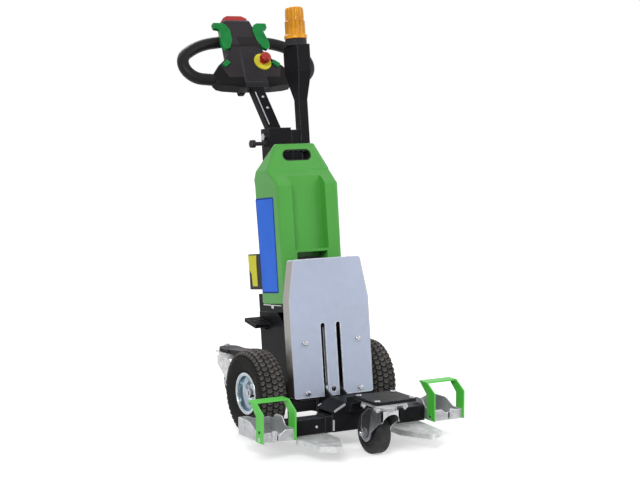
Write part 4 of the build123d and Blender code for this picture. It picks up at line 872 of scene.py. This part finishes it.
def liner_surface():
    """Rubber liner of the case's hand slot: a closed ring between an outer and an inner outline, front and
    back. The inner outline's upper edge is waved by a cosine of the way across, for four fingers."""
    outer = evenly(rounded(*LINER_OUTER), 120)
    inner = evenly(rounded(*LINER_INNER), 120)
    upper = rise(0.004, 0.012, inner[:, 1]) * rise(0.040, 0.034, np.abs(inner[:, 0]))
    inner[:, 1] -= upper * FINGER_WAVE * (1 - np.cos(FULL_TURN * inner[:, 0] / FINGER_WIDTH))
    front, back = (LINER_FRONT, LINER_LEAN), (LINER_BACK, 0)
    rings = []
    for ring, (depth, lean) in ((outer, front), (inner, front), (inner, back), (outer, back), (outer, front)):
        rings.append(np.column_stack([ring[:, 0], depth + lean * ring[:, 1], LINER_HEIGHT + ring[:, 1]]))
    return place(np.stack(rings), LEANED)


# Case's side: half width at its foot, how it widens with height, and the panel's depth and height there
CASE_HALF = 0.101
CASE_FOOT = 0.400
CASE_DRAFT = 0.003 / 0.357
PANEL_DEPTH = 0.1695
PANEL_HEIGHT = 0.578
PANEL_TAPER = 0.30
BORDER_SIZE = (0.106, 0.286)
BORDER_THICK = 0.0006
PANEL_SIZE = (0.098, 0.277)
PANEL_THICK = 0.0011
PANEL_CORNER = 0.006
# Latch on the tray's skirt: its keeper, and depth and height of each bend of its wires
KEEPER = (0.097, 0.1690, 0.3945)
KEEPER_OUTLINE = (0.014, 0.010, 0.002)
KEEPER_THICK = 0.0016
WIRE_X = 0.0988
WIRE_RADIUS = 0.0016
LATCH_WIRES = (
    ((0.2216, 0.4000), (0.1790, 0.3990), (0.1740, 0.3972), (0.1616, 0.3880)),
    ((0.1586, 0.3987), (0.1124, 0.3970)),
)


class TOWTRACTOR_OT_case_trim(bpy.types.Operator):
    """Bare blue panels on the sides of the battery case, the hand slot's liner and the tray's latches"""

    bl_idname = "towtractor.case_trim"
    bl_label = "Case trim"

    def execute(self, context):
        outline = rounded(*BORDER_SIZE, PANEL_CORNER)
        outline[:, 0] *= 1 + PANEL_TAPER * (outline[:, 1] + 0.02)
        rake = np.array([CASE_DRAFT, 0, 1.0]) / math.hypot(CASE_DRAFT, 1.0)
        out = CASE_HALF + CASE_DRAFT * (PANEL_HEIGHT - CASE_FOOT)
        for side, sign in SIDES:
            centre = (sign * out, PANEL_DEPTH, PANEL_HEIGHT)
            across, along = (0, sign, 0), (sign * rake[0], 0, rake[2])
            rim = outline * (sign, 1)
            border = plate_points(rim, BORDER_THICK, LEANED, centre, across, along, 0.0002)
            piece(f"{side}_case_border", [border], "chassis", None, material="blue_border")
            inner = rim * np.divide(PANEL_SIZE, BORDER_SIZE)
            panel = plate_points(inner, PANEL_THICK, LEANED, centre, across, along)
            piece(f"{side}_case_panel", [panel], "chassis", None, material="blue_label")
            keeper = rounded(*KEEPER_OUTLINE)
            grids = [plate_points(keeper, KEEPER_THICK, LEANED, on_side(sign, KEEPER), across)]
            for route in LATCH_WIRES:
                line = [(sign * WIRE_X, depth, height) for depth, height in route]
                grids.append(place(tube(line, WIRE_RADIUS), LEANED))
            piece(f"{side}_tray_latch", grids, "chassis", "bright_steel", material="worn_edge")
        piece("hand_slot_liner", [liner_surface()], "chassis", "black_plastic", material="grip_rubber")
        return {"FINISHED"}


# Status box's bare plate, with its outline as (way forward, height) from its middle, and the lid's screws
STATUS_RIM = (
    (-0.004, 0.050), (0.027, 0.050), (0.024, 0.020), (0.025, -0.005), (0.026, -0.046), (-0.006, -0.046),
    (-0.010, -0.008), (-0.026, 0.010), (-0.027, 0.050))
STATUS_MIDDLE = (-0.056, 0.362, 0.499)
STATUS_THICK = 0.0008
STATUS_SCREWS = both_sides(0.046, (0.394,), (0.454, 0.542))


class TOWTRACTOR_OT_status_box_trim(bpy.types.Operator):
    """Bare yellow plate on the status box, and the screws of its lid"""

    bl_idname = "towtractor.status_box_trim"
    bl_label = "Status box trim"

    def execute(self, context):
        plate = plate_points(STATUS_RIM, STATUS_THICK, LEANED, STATUS_MIDDLE, FORWARD)
        piece("status_plate", [plate], "chassis", "yellow_plastic")
        screws = fasteners(SET_SCREW, LEANED, STATUS_SCREWS, (0, 1, 0), 18)
        piece("status_box_screws", screws, "chassis", "bright_steel")
        return {"FINISHED"}


# Beacon lens: rows of (radius, height, depth of the flutes), its foot's place, and the groove of its tiers
LENS_ROWS = (
    (0, 0, 0), (0.0355, 0, 0), (0.0355, 0.0100, 0), (0.0343, 0.0120, 0), (0.0321, 0.0124, 0),
    (0.0315, 0.0140, 0.3), (0.0315, 0.0165, 1), (0.0315, 0.0340, 1), (0.0315, 0.0515, 1),
    (0.0313, 0.0535, 0.3), (0.0297, 0.0545, 0), (0.0290, 0.0560, 0.3), (0.0290, 0.0585, 1),
    (0.0290, 0.0740, 1), (0.0287, 0.0880, 1), (0.0277, 0.0925, 0.4), (0.0253, 0.0960, 0),
    (0.0215, 0.0978, 0), (0.0120, 0.0980, 0), (0, 0.0980, 0))
LENS_FOOT = (0.084, 0.251, 1.209)
LENS_GROOVE = 0.0545
FLUTE_DEPTH = 0.0009
STEPS_PER_FLUTE = 12


def lens_surface(flutes):
    """Beacon lens turned about Z: a flange, two tiers and a domed top, as a grid of height by angle.
    Each tier's radius is waved by a cosine of the angle, flutes to the turn, as deep as its row says."""
    radius, height, depth = (column[:, None] for column in np.array(LENS_ROWS).T)
    angle = np.linspace(0, FULL_TURN, flutes * STEPS_PER_FLUTE, endpoint=False)
    wave = depth * (1 + np.cos(angle * flutes)) / 2
    radius = radius - FLUTE_DEPTH * wave
    # The mark is low in the flutes and at the groove between the tiers, where the painted shade goes
    mark = (1 - 0.45 * wave) * (1 - 0.5 * bell(height, LENS_GROOVE, 0.003))
    level = np.repeat(height, len(angle), axis=1)
    return np.stack([radius * np.cos(angle), radius * np.sin(angle), level], axis=-1), mark


class TOWTRACTOR_OT_beacon(bpy.types.Operator):
    """Fluted amber lens in the place of the plain one"""

    bl_idname = "towtractor.beacon"
    bl_label = "Beacon"

    def execute(self, context):
        grid, mark = lens_surface(context.scene.tractor_sizes.lens_flute_shade)
        made = piece("fluted_lens", copies(grid, spots(LEANED, [LENS_FOOT], UP)), "chassis", "amber_lens",
                     crease=50.0, marks=mark)
        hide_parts("beacon_lens")
        return {"FINISHED"}


def arch_surface(low, top, front, back):
    """Upright sheet between a shaped lower edge (x, z) and a level top, as a ring of four corners carried
    across it. Each station's ring is front low, front top, back top, back low; the first and last rings
    close at their middles."""
    x, z = np.array(low).T
    level = np.full(len(x), top)
    corners = [np.column_stack([x, np.full(len(x), y), height])
               for y, height in ((front, z), (front, level), (back, level), (back, z))]
    grid = place(np.stack(corners, axis=1), LEVEL)
    ends = [np.repeat(grid[k].mean(0)[None, None], 4, axis=1) for k in (0, -1)]
    return np.concatenate([ends[0], grid, ends[1]])


PAD_SCREWS = both_sides(0.057, (-0.466, -0.368), (0.173,))
CASTOR_PLATE_NUTS = both_sides(0.045, (-0.447, -0.377), (0.151,))
REAR_ARM_BOLT = (0, 0.560, 0.167)
# Castors: how far back each axle lies, its height and its ends
CASTOR_AXLES = (("front", -0.359), ("rear", 0.485))
CASTOR_AXLE_Z = 0.0625
CASTOR_AXLE_END = 0.032
# Front fork's apron: its lower edge (x, height), its top, front and back
APRON_EDGE = (
    (-0.029, 0.104), (-0.025, 0.111), (-0.018, 0.118), (-0.009, 0.1235), (0.002, 0.1262), (0.012, 0.1262),
    (0.020, 0.1235), (0.025, 0.118), (0.029, 0.104))
APRON_TOP = 0.137
APRON_FACES = (-0.4470, -0.4425)
# Front fork's dark sheets that paint the dark reflection on the back of its legs: head (way back, height),
# rounded foot about the axle, middle, side and thickness
SHADE_BAR_HEAD = ((-0.392, 0.133), (-0.377, 0.133), (-0.3435, 0.108))
SHADE_BAR_FOOT_RADIUS = 0.0165
SHADE_BAR_MIDDLE = (-0.367, 0.090)
SHADE_BAR_X = 0.029
SHADE_BAR_THICK = 0.0018


class TOWTRACTOR_OT_castor_trim(bpy.types.Operator):
    """Bolts of the castor plates and pad, nuts on the castor axles, apron of the front fork and dark sheets
    that paint the dark reflection on its legs
    """

    bl_idname = "towtractor.castor_trim"
    bl_label = "Castor trim"

    def execute(self, context):
        piece("castor_pad_screws", fasteners(PAN_HEAD, LEVEL, PAD_SCREWS, UP), "hitch", "bright_steel")
        piece("rear_arm_bolt", fasteners(HEX_BOLT, LEVEL, [REAR_ARM_BOLT], UP), "chassis", "bright_steel")
        for end, axle in CASTOR_AXLES:
            nuts = []
            for _, sign in SIDES:
                tip = (sign * CASTOR_AXLE_END, axle, CASTOR_AXLE_Z)
                nuts += fasteners(AXLE_BOLT, LEVEL, [tip], (sign, 0, 0))
            piece(f"{end}_castor_nuts", nuts, f"{end}_castor", "bright_steel")
        apron = arch_surface(APRON_EDGE, APRON_TOP, *APRON_FACES)
        piece("front_castor_apron", [apron], "front_castor", "galvanised", material="raw_steel")
        # Dark sheets on the back of the fork's legs: painted dark reflection
        turn = np.linspace(0, -math.pi, 9)
        foot = SHADE_BAR_FOOT_RADIUS * np.column_stack([np.cos(turn), np.sin(turn)])
        outline = np.concatenate([SHADE_BAR_HEAD, foot + (CASTOR_AXLES[0][1], CASTOR_AXLE_Z)]) - SHADE_BAR_MIDDLE
        shade_bars = []
        for _, sign in SIDES:
            middle = (sign * SHADE_BAR_X, *SHADE_BAR_MIDDLE)
            shade_bars.append(plate_points(outline * (sign, 1), SHADE_BAR_THICK, LEVEL, middle, (0, sign, 0)))
        piece("front_castor_bars", shade_bars, "front_castor", "galvanised", material="dark_steel")
        nuts = fasteners(WHEEL_NUT, LEVEL, CASTOR_PLATE_NUTS, (0, 0, -1))
        piece("castor_plate_nuts", nuts, "hitch", "bright_steel")
        return {"FINISHED"}


# Grippers: outline, thickness and place of the latch and slot, and places on the hoop
LATCH_OUTLINE = (0.014, 0.028, 0.004)
LATCH_THICK = 0.0025
LATCH = (0.296, -0.314, 0.074)
LATCH_SCREW = (0.296, -0.3164, 0.080)
SLOT_OUTLINE = (0.0030, 0.020, 0.0012)
SLOT_THICK = 0.0006
SLOT = (0.286, -0.314, 0.070)
OUTER_HOOP_BOLT = (0.337, -0.302, 0.066)
INNER_HOOP_BOLT = (0.230, -0.302, 0.066)
HOOP_PLUG_PLACE = (0.337, -0.302, 0.086)


class TOWTRACTOR_OT_gripper_trim(bpy.types.Operator):
    """Latches and slots on the grippers' front walls, bolts and plugs of the green hoops"""

    bl_idname = "towtractor.gripper_trim"
    bl_label = "Gripper trim"

    def execute(self, context):
        for side, sign in SIDES:
            out, inward = (sign, 0, 0), (-sign, 0, 0)
            latch = [plate_points(rounded(*LATCH_OUTLINE), LATCH_THICK, LEVEL, on_side(sign, LATCH))]
            latch += fasteners(PAN_HEAD, LEVEL, [on_side(sign, LATCH_SCREW)], FORWARD, 18)
            piece(f"{side}_gripper_latch", latch, "hitch", "galvanised")
            slot = plate_points(rounded(*SLOT_OUTLINE), SLOT_THICK, LEVEL, on_side(sign, SLOT))
            piece(f"{side}_gripper_slot", [slot], "hitch", "grip_rubber")
            bolts = fasteners(HOOP_BOLT, LEVEL, [on_side(sign, OUTER_HOOP_BOLT)], out)
            bolts += fasteners(HOOP_BOLT, LEVEL, [on_side(sign, INNER_HOOP_BOLT)], inward)
            piece(f"{side}_hoop_bolts", bolts, "hitch", "bright_steel")
            high = spots(LEVEL, [on_side(sign, HOOP_PLUG_PLACE)], out)
            piece(f"{side}_hoop_plug", copies(turned(HOOP_PLUG, 18), high), "hitch", "grip_rubber")
        return {"FINISHED"}


CROSSBAR_SCREWS = both_sides(0.134, (-0.265,), (0.072,))
# Hitch box: run and rise of its gables' slope, and outline and place on each side of the thin bright strips
# that paint highlights along the gables' edges
GABLE_RUN = 0.8944
GABLE_RISE = 0.4472
GLINT_STRIP_THICK = 0.0008
SLOPED_GLINT = ((0.042, 0.0066, 0.0020), (0.0604, -0.271, 0.1199))
UPRIGHT_GLINT = ((0.0058, 0.032, 0.0020), (0.0805, -0.271, 0.0710))
BACK_GLINT = ((0.012, 0.0050, 0.0016), (0.0775, -0.1850, 0.1153))


class TOWTRACTOR_OT_hitch_trim(bpy.types.Operator):
    """Set screws of the crossbar and thin bright strips that paint highlights along the hitch box's gables"""

    bl_idname = "towtractor.hitch_trim"
    bl_label = "Hitch trim"

    def execute(self, context):
        screws = fasteners(SET_SCREW, LEVEL, CROSSBAR_SCREWS, FORWARD, 18)
        piece("crossbar_screws", screws, "hitch", "bright_steel")
        # Thin bright strips that paint highlights along the gables' edges
        edges = []
        for _, sign in SIDES:
            across = (GABLE_RUN, 0, -sign * GABLE_RISE)
            square = (sign * GABLE_RISE, 0, GABLE_RUN)
            strips = (
                (SLOPED_GLINT, across, square),
                (UPRIGHT_GLINT, (1, 0, 0), UP),
                (BACK_GLINT, across, (0, 1, 0)),
            )
            for (outline, middle), wide, high in strips:
                spot = on_side(sign, middle)
                edges.append(plate_points(rounded(*outline), GLINT_STRIP_THICK, LEVEL, spot, wide, high))
        piece("hitch_box_edges", edges, "hitch", "bright_steel", material="worn_edge")
        return {"FINISHED"}


# Foot pedal: middle of its plate, half its thickness, its tilt, a rib's outline, and the ribs' ways along it
PEDAL_MIDDLE = (-0.088, 0.292, 0.344)
PEDAL_HALF = 0.006
PEDAL_TILT = math.radians(16.0)
PEDAL_RIB = (0.044, 0.006, 0.0028)
PEDAL_RIB_THICK = 0.0016
PEDAL_RIB_WAYS = (-0.028, -0.014, 0.0, 0.014, 0.028)


class TOWTRACTOR_OT_pedal_trim(bpy.types.Operator):
    """Rubber ribs across the foot pedal"""

    bl_idname = "towtractor.pedal_trim"
    bl_label = "Pedal ribs"

    def execute(self, context):
        along = np.array([0, math.cos(PEDAL_TILT), math.sin(PEDAL_TILT)])
        above = np.array([0, -math.sin(PEDAL_TILT), math.cos(PEDAL_TILT)])
        top = np.array(PEDAL_MIDDLE) + PEDAL_HALF * above
        rib = rounded(*PEDAL_RIB)
        ribs = [plate_points(rib, PEDAL_RIB_THICK, LEANED, top + along * way, along=along)
                for way in PEDAL_RIB_WAYS]
        piece("pedal_ribs", ribs, "chassis", "grip_rubber")
        return {"FINISHED"}


# Control head: the raised middle's right edge (x, way along) and rows, and the bare plate's place and slope
RIDGE_EDGE = ((0.023, 0.190), (0.027, 0.171), (0.034, 0.118), (0.039, 0.073), (0.041, 0.056))
RIDGE_ROWS = ((0, -0.0005), (0.008, 0.0026))
HEAD_PLATE_OUTLINE = (0.066, 0.030, 0.003)
HEAD_PLATE_THICK = 0.0008
HEAD_PLATE = (0.011, -0.00502, 0.2105)
HEAD_PLATE_ALONG = (0, 0.063, 0.998)
# Grip seam: its slanted outline, its place on the wing, and how the wing dips
SEAM_EDGE = ((0.0, 0.0), (0.0018, 0.0), (0.0128, 0.0280), (0.0110, 0.0280))
SEAM_THICK = 0.0004
SEAM_X = 0.0895
SEAM_WAY = 0.0790
WING_DIP = 6.0 / 78.0
WING_RUN = 0.0195
# Bracket under the head, and on the arm's upper face a thin pale strip that paints a highlight along its edge,
# and screws
BRACKET_OUTLINE = (0.022, 0.028, 0.004)
BRACKET_ROWS = ((0, -0.003), (0, 0.011), (0.002, 0.013))
BRACKET = (-0.033, 0.0520, 0.060)
ARM_FACE = -0.0135
ARM_GLINT_OUTLINE = (0.0034, 0.134, 0.0012)
ARM_GLINT_THICK = 0.0009
ARM_GLINT = (-0.0158, ARM_FACE, 0.105)
ARM_SCREWS = ((0.003, ARM_FACE, 0.150), (0.003, ARM_FACE, 0.105))


class TOWTRACTOR_OT_tiller_trim(bpy.types.Operator):
    """Raised middle and bare plate of the control head, grip seams, bracket, the arm's screws and a strip that
    paints a highlight along the arm's edge
    """

    bl_idname = "towtractor.tiller_trim"
    bl_label = "Tiller trim"

    def execute(self, context):
        edge = np.array(RIDGE_EDGE)
        outward = np.array([(1, 0, 0), (0, 0, 1), (0, -1, 0)])
        ridge = slab(np.concatenate([edge, edge[::-1] * MIRROR]), RIDGE_ROWS)
        piece("head_ridge", [place(ridge @ outward, HEAD)], "tiller", "black_plastic", crease=12.0)
        bare = rounded(*HEAD_PLATE_OUTLINE)
        sheet = plate_points(bare, HEAD_PLATE_THICK, HEAD, HEAD_PLATE, along=HEAD_PLATE_ALONG)
        piece("head_plate", [sheet], "tiller", "black_plastic", material="grip_rubber")
        seams = []
        for _, sign in SIDES:
            across = np.array([1, sign * WING_DIP, 0]) / math.hypot(1, WING_DIP)
            spot = (sign * SEAM_X, WING_RUN * WING_DIP, SEAM_WAY)
            outline = np.multiply(SEAM_EDGE, (sign, 1))
            seams.append(plate_points(outline, SEAM_THICK, HEAD, spot, across, edge=0.0001))
        piece("grip_seams", seams, "tiller", "red_plastic", material="seam_brown")
        inward = np.array([(1, 0, 0), (0, 0, -1), (0, 1, 0)])
        block = slab(rounded(*BRACKET_OUTLINE), BRACKET_ROWS)
        piece("head_bracket", [place(block @ inward + BRACKET, HEAD)], "tiller", "black_steel")
        # A thin pale strip that paints the highlight along the arm's edge
        strip = plate_points(rounded(*ARM_GLINT_OUTLINE), ARM_GLINT_THICK, ARM, ARM_GLINT, edge=0.0002)
        grids = [strip, *fasteners(SET_SCREW, ARM, ARM_SCREWS, FORWARD, 18)]
        piece("arm_trim", grids, "tiller", "bright_steel", material="worn_edge")
        return {"FINISHED"}


# Stage: where the floor starts and ends to lift towards white, and how bright it and the room are
LIFT_FROM = 0.7
LIFT_TO = 2.4
FLOOR_LIFT = 0.42
ROOM_LIGHT = 0.42
WHITE = (1, 1, 1, 1)
# Lamps: name, place, power in watts, size
LAMPS = (
    ("key", (-3.6, -4.2, 4.2), 210.0, 2.6),
    ("fill", (4.2, -3.0, 2.6), 90.0, 3.0),
    ("back", (0.6, 4.4, 4.4), 150.0, 3.0),
)
LAMP_TARGET = (0, 0, 0.5)
CAMERA_PLACE = (-2.419, -4.236 + AXLE_Y, 1.113)
CAMERA_TARGET = (0.031, AXLE_Y, 0.557)
CAMERA_LENS = 92.63
CAMERA_SENSOR = 36.0


def seen_rays(tree):
    """1 where the camera looks, straight, in a mirror or through glass, and 0 for all other rays."""
    rays = tree.nodes.new("ShaderNodeLightPath").outputs
    straight = maths(tree, "MAXIMUM", rays["Is Camera Ray"], rays["Is Glossy Ray"])
    return maths(tree, "MAXIMUM", straight, rays["Is Transmission Ray"])


def floor_finish():
    """White floor: lit and shadowed as any surface, and lifted towards white where the camera or a mirror
    sees it, the more the further it lies from the machine."""
    made = fresh("studio_floor")
    tree, shader, vector = parts_of("studio_floor")
    shader.inputs["Roughness"].default_value = 0.9
    shader.inputs["Specular IOR Level"].default_value = 0.0
    shader.inputs["Emission Color"].default_value = WHITE
    away = vector_maths(tree, "LENGTH", "Value", vector)
    far = stretch(tree, away, LIFT_FROM, LIFT_TO, 0.0, 1.0)
    tree.links.new(mixed(tree, far, (0.82, 0.82, 0.82), (0.25, 0.25, 0.25)), shader.inputs["Base Color"])
    level = stretch(tree, away, LIFT_FROM, LIFT_TO, FLOOR_LIFT, 1.0)
    tree.links.new(maths(tree, "MULTIPLY", seen_rays(tree), level), shader.inputs["Emission Strength"])
    return made


def aim(made, spot, target):
    """Set a lamp or camera at a place, looking at a target."""
    made.location = spot
    made.rotation_euler = (Vector(target) - Vector(spot)).to_track_quat("-Z", "Y").to_euler()


class TOWTRACTOR_OT_stage(bpy.types.Operator):
    """White floor, soft lamps, white surroundings and the camera at the photograph's angle"""

    bl_idname = "towtractor.stage"
    bl_label = "Stage"

    def execute(self, context):
        scene = context.scene
        scene.view_settings.view_transform = "Standard"
        reach = scene.tractor_sizes.floor_size
        line = np.linspace(-reach, reach, 3)
        x, y = np.meshgrid(line, line)
        corner = np.array([0, 1, 4, 3])
        points = np.column_stack([x.ravel(), y.ravel(), np.zeros(9)])
        mesh = bpy.data.meshes.new("floor")
        mesh.from_pydata(points.tolist(), [], [(corner + k).tolist() for k in (0, 1, 3, 4)])
        mesh.materials.append(floor_finish())
        floor = add("floor", mesh)

        world = bpy.data.worlds.new("studio")
        scene.world = world
        world.use_nodes = True
        tree = world.node_tree
        room = tree.nodes["Background"].inputs
        room["Color"].default_value = WHITE
        tree.links.new(stretch(tree, seen_rays(tree), 0.0, 1.0, ROOM_LIGHT, 1.0), room["Strength"])

        for name, spot, power, size in LAMPS:
            light = bpy.data.lights.new(name, "AREA")
            light.energy = power
            light.size = size
            aim(add(name, light), spot, LAMP_TARGET)

        view = bpy.data.cameras.new("camera")
        view.lens = CAMERA_LENS
        view.sensor_width = CAMERA_SENSOR
        scene.camera = add("camera", view)
        aim(scene.camera, CAMERA_PLACE, CAMERA_TARGET)
        return {"FINISHED"}


OPERATORS = (
    TOWTRACTOR_OT_finishes, TOWTRACTOR_OT_tyres, TOWTRACTOR_OT_wheel_trim, TOWTRACTOR_OT_front_plate_trim,
    TOWTRACTOR_OT_case_trim, TOWTRACTOR_OT_status_box_trim, TOWTRACTOR_OT_beacon, TOWTRACTOR_OT_castor_trim,
    TOWTRACTOR_OT_gripper_trim, TOWTRACTOR_OT_hitch_trim, TOWTRACTOR_OT_pedal_trim,
    TOWTRACTOR_OT_tiller_trim, TOWTRACTOR_OT_stage)


class TOWTRACTOR_PT_panel(bpy.types.Panel):
    """List of the steps that dress the tow tractor"""

    bl_idname = "TOWTRACTOR_PT_panel"
    bl_label = "Tow tractor"
    bl_space_type = "VIEW_3D"
    bl_region_type = "UI"
    bl_category = "Tow tractor"

    def draw(self, context):
        for kind in OPERATORS:
            self.layout.operator(kind.bl_idname)
        for group in (context.scene.tractor_colours, context.scene.tractor_sizes):
            for key in group.__annotations__:
                self.layout.prop(group, key)


CLASSES = (TractorColours, TractorSizes, *OPERATORS, TOWTRACTOR_PT_panel)


def register():
    """Register the classes and hang the property groups on the scene."""
    for kind in CLASSES:
        bpy.utils.register_class(kind)
    bpy.types.Scene.tractor_colours = bpy.props.PointerProperty(type=TractorColours)
    bpy.types.Scene.tractor_sizes = bpy.props.PointerProperty(type=TractorSizes)


def unregister():
    """Take the property groups and classes away again."""
    del bpy.types.Scene.tractor_sizes
    del bpy.types.Scene.tractor_colours
    for kind in reversed(CLASSES):
        bpy.utils.unregister_class(kind)


def main():
    """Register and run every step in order."""
    register()
    for kind in OPERATORS:
        group, name = kind.bl_idname.split(".")
        getattr(getattr(bpy.ops, group), name)()


if __name__ == "__main__":
    main()
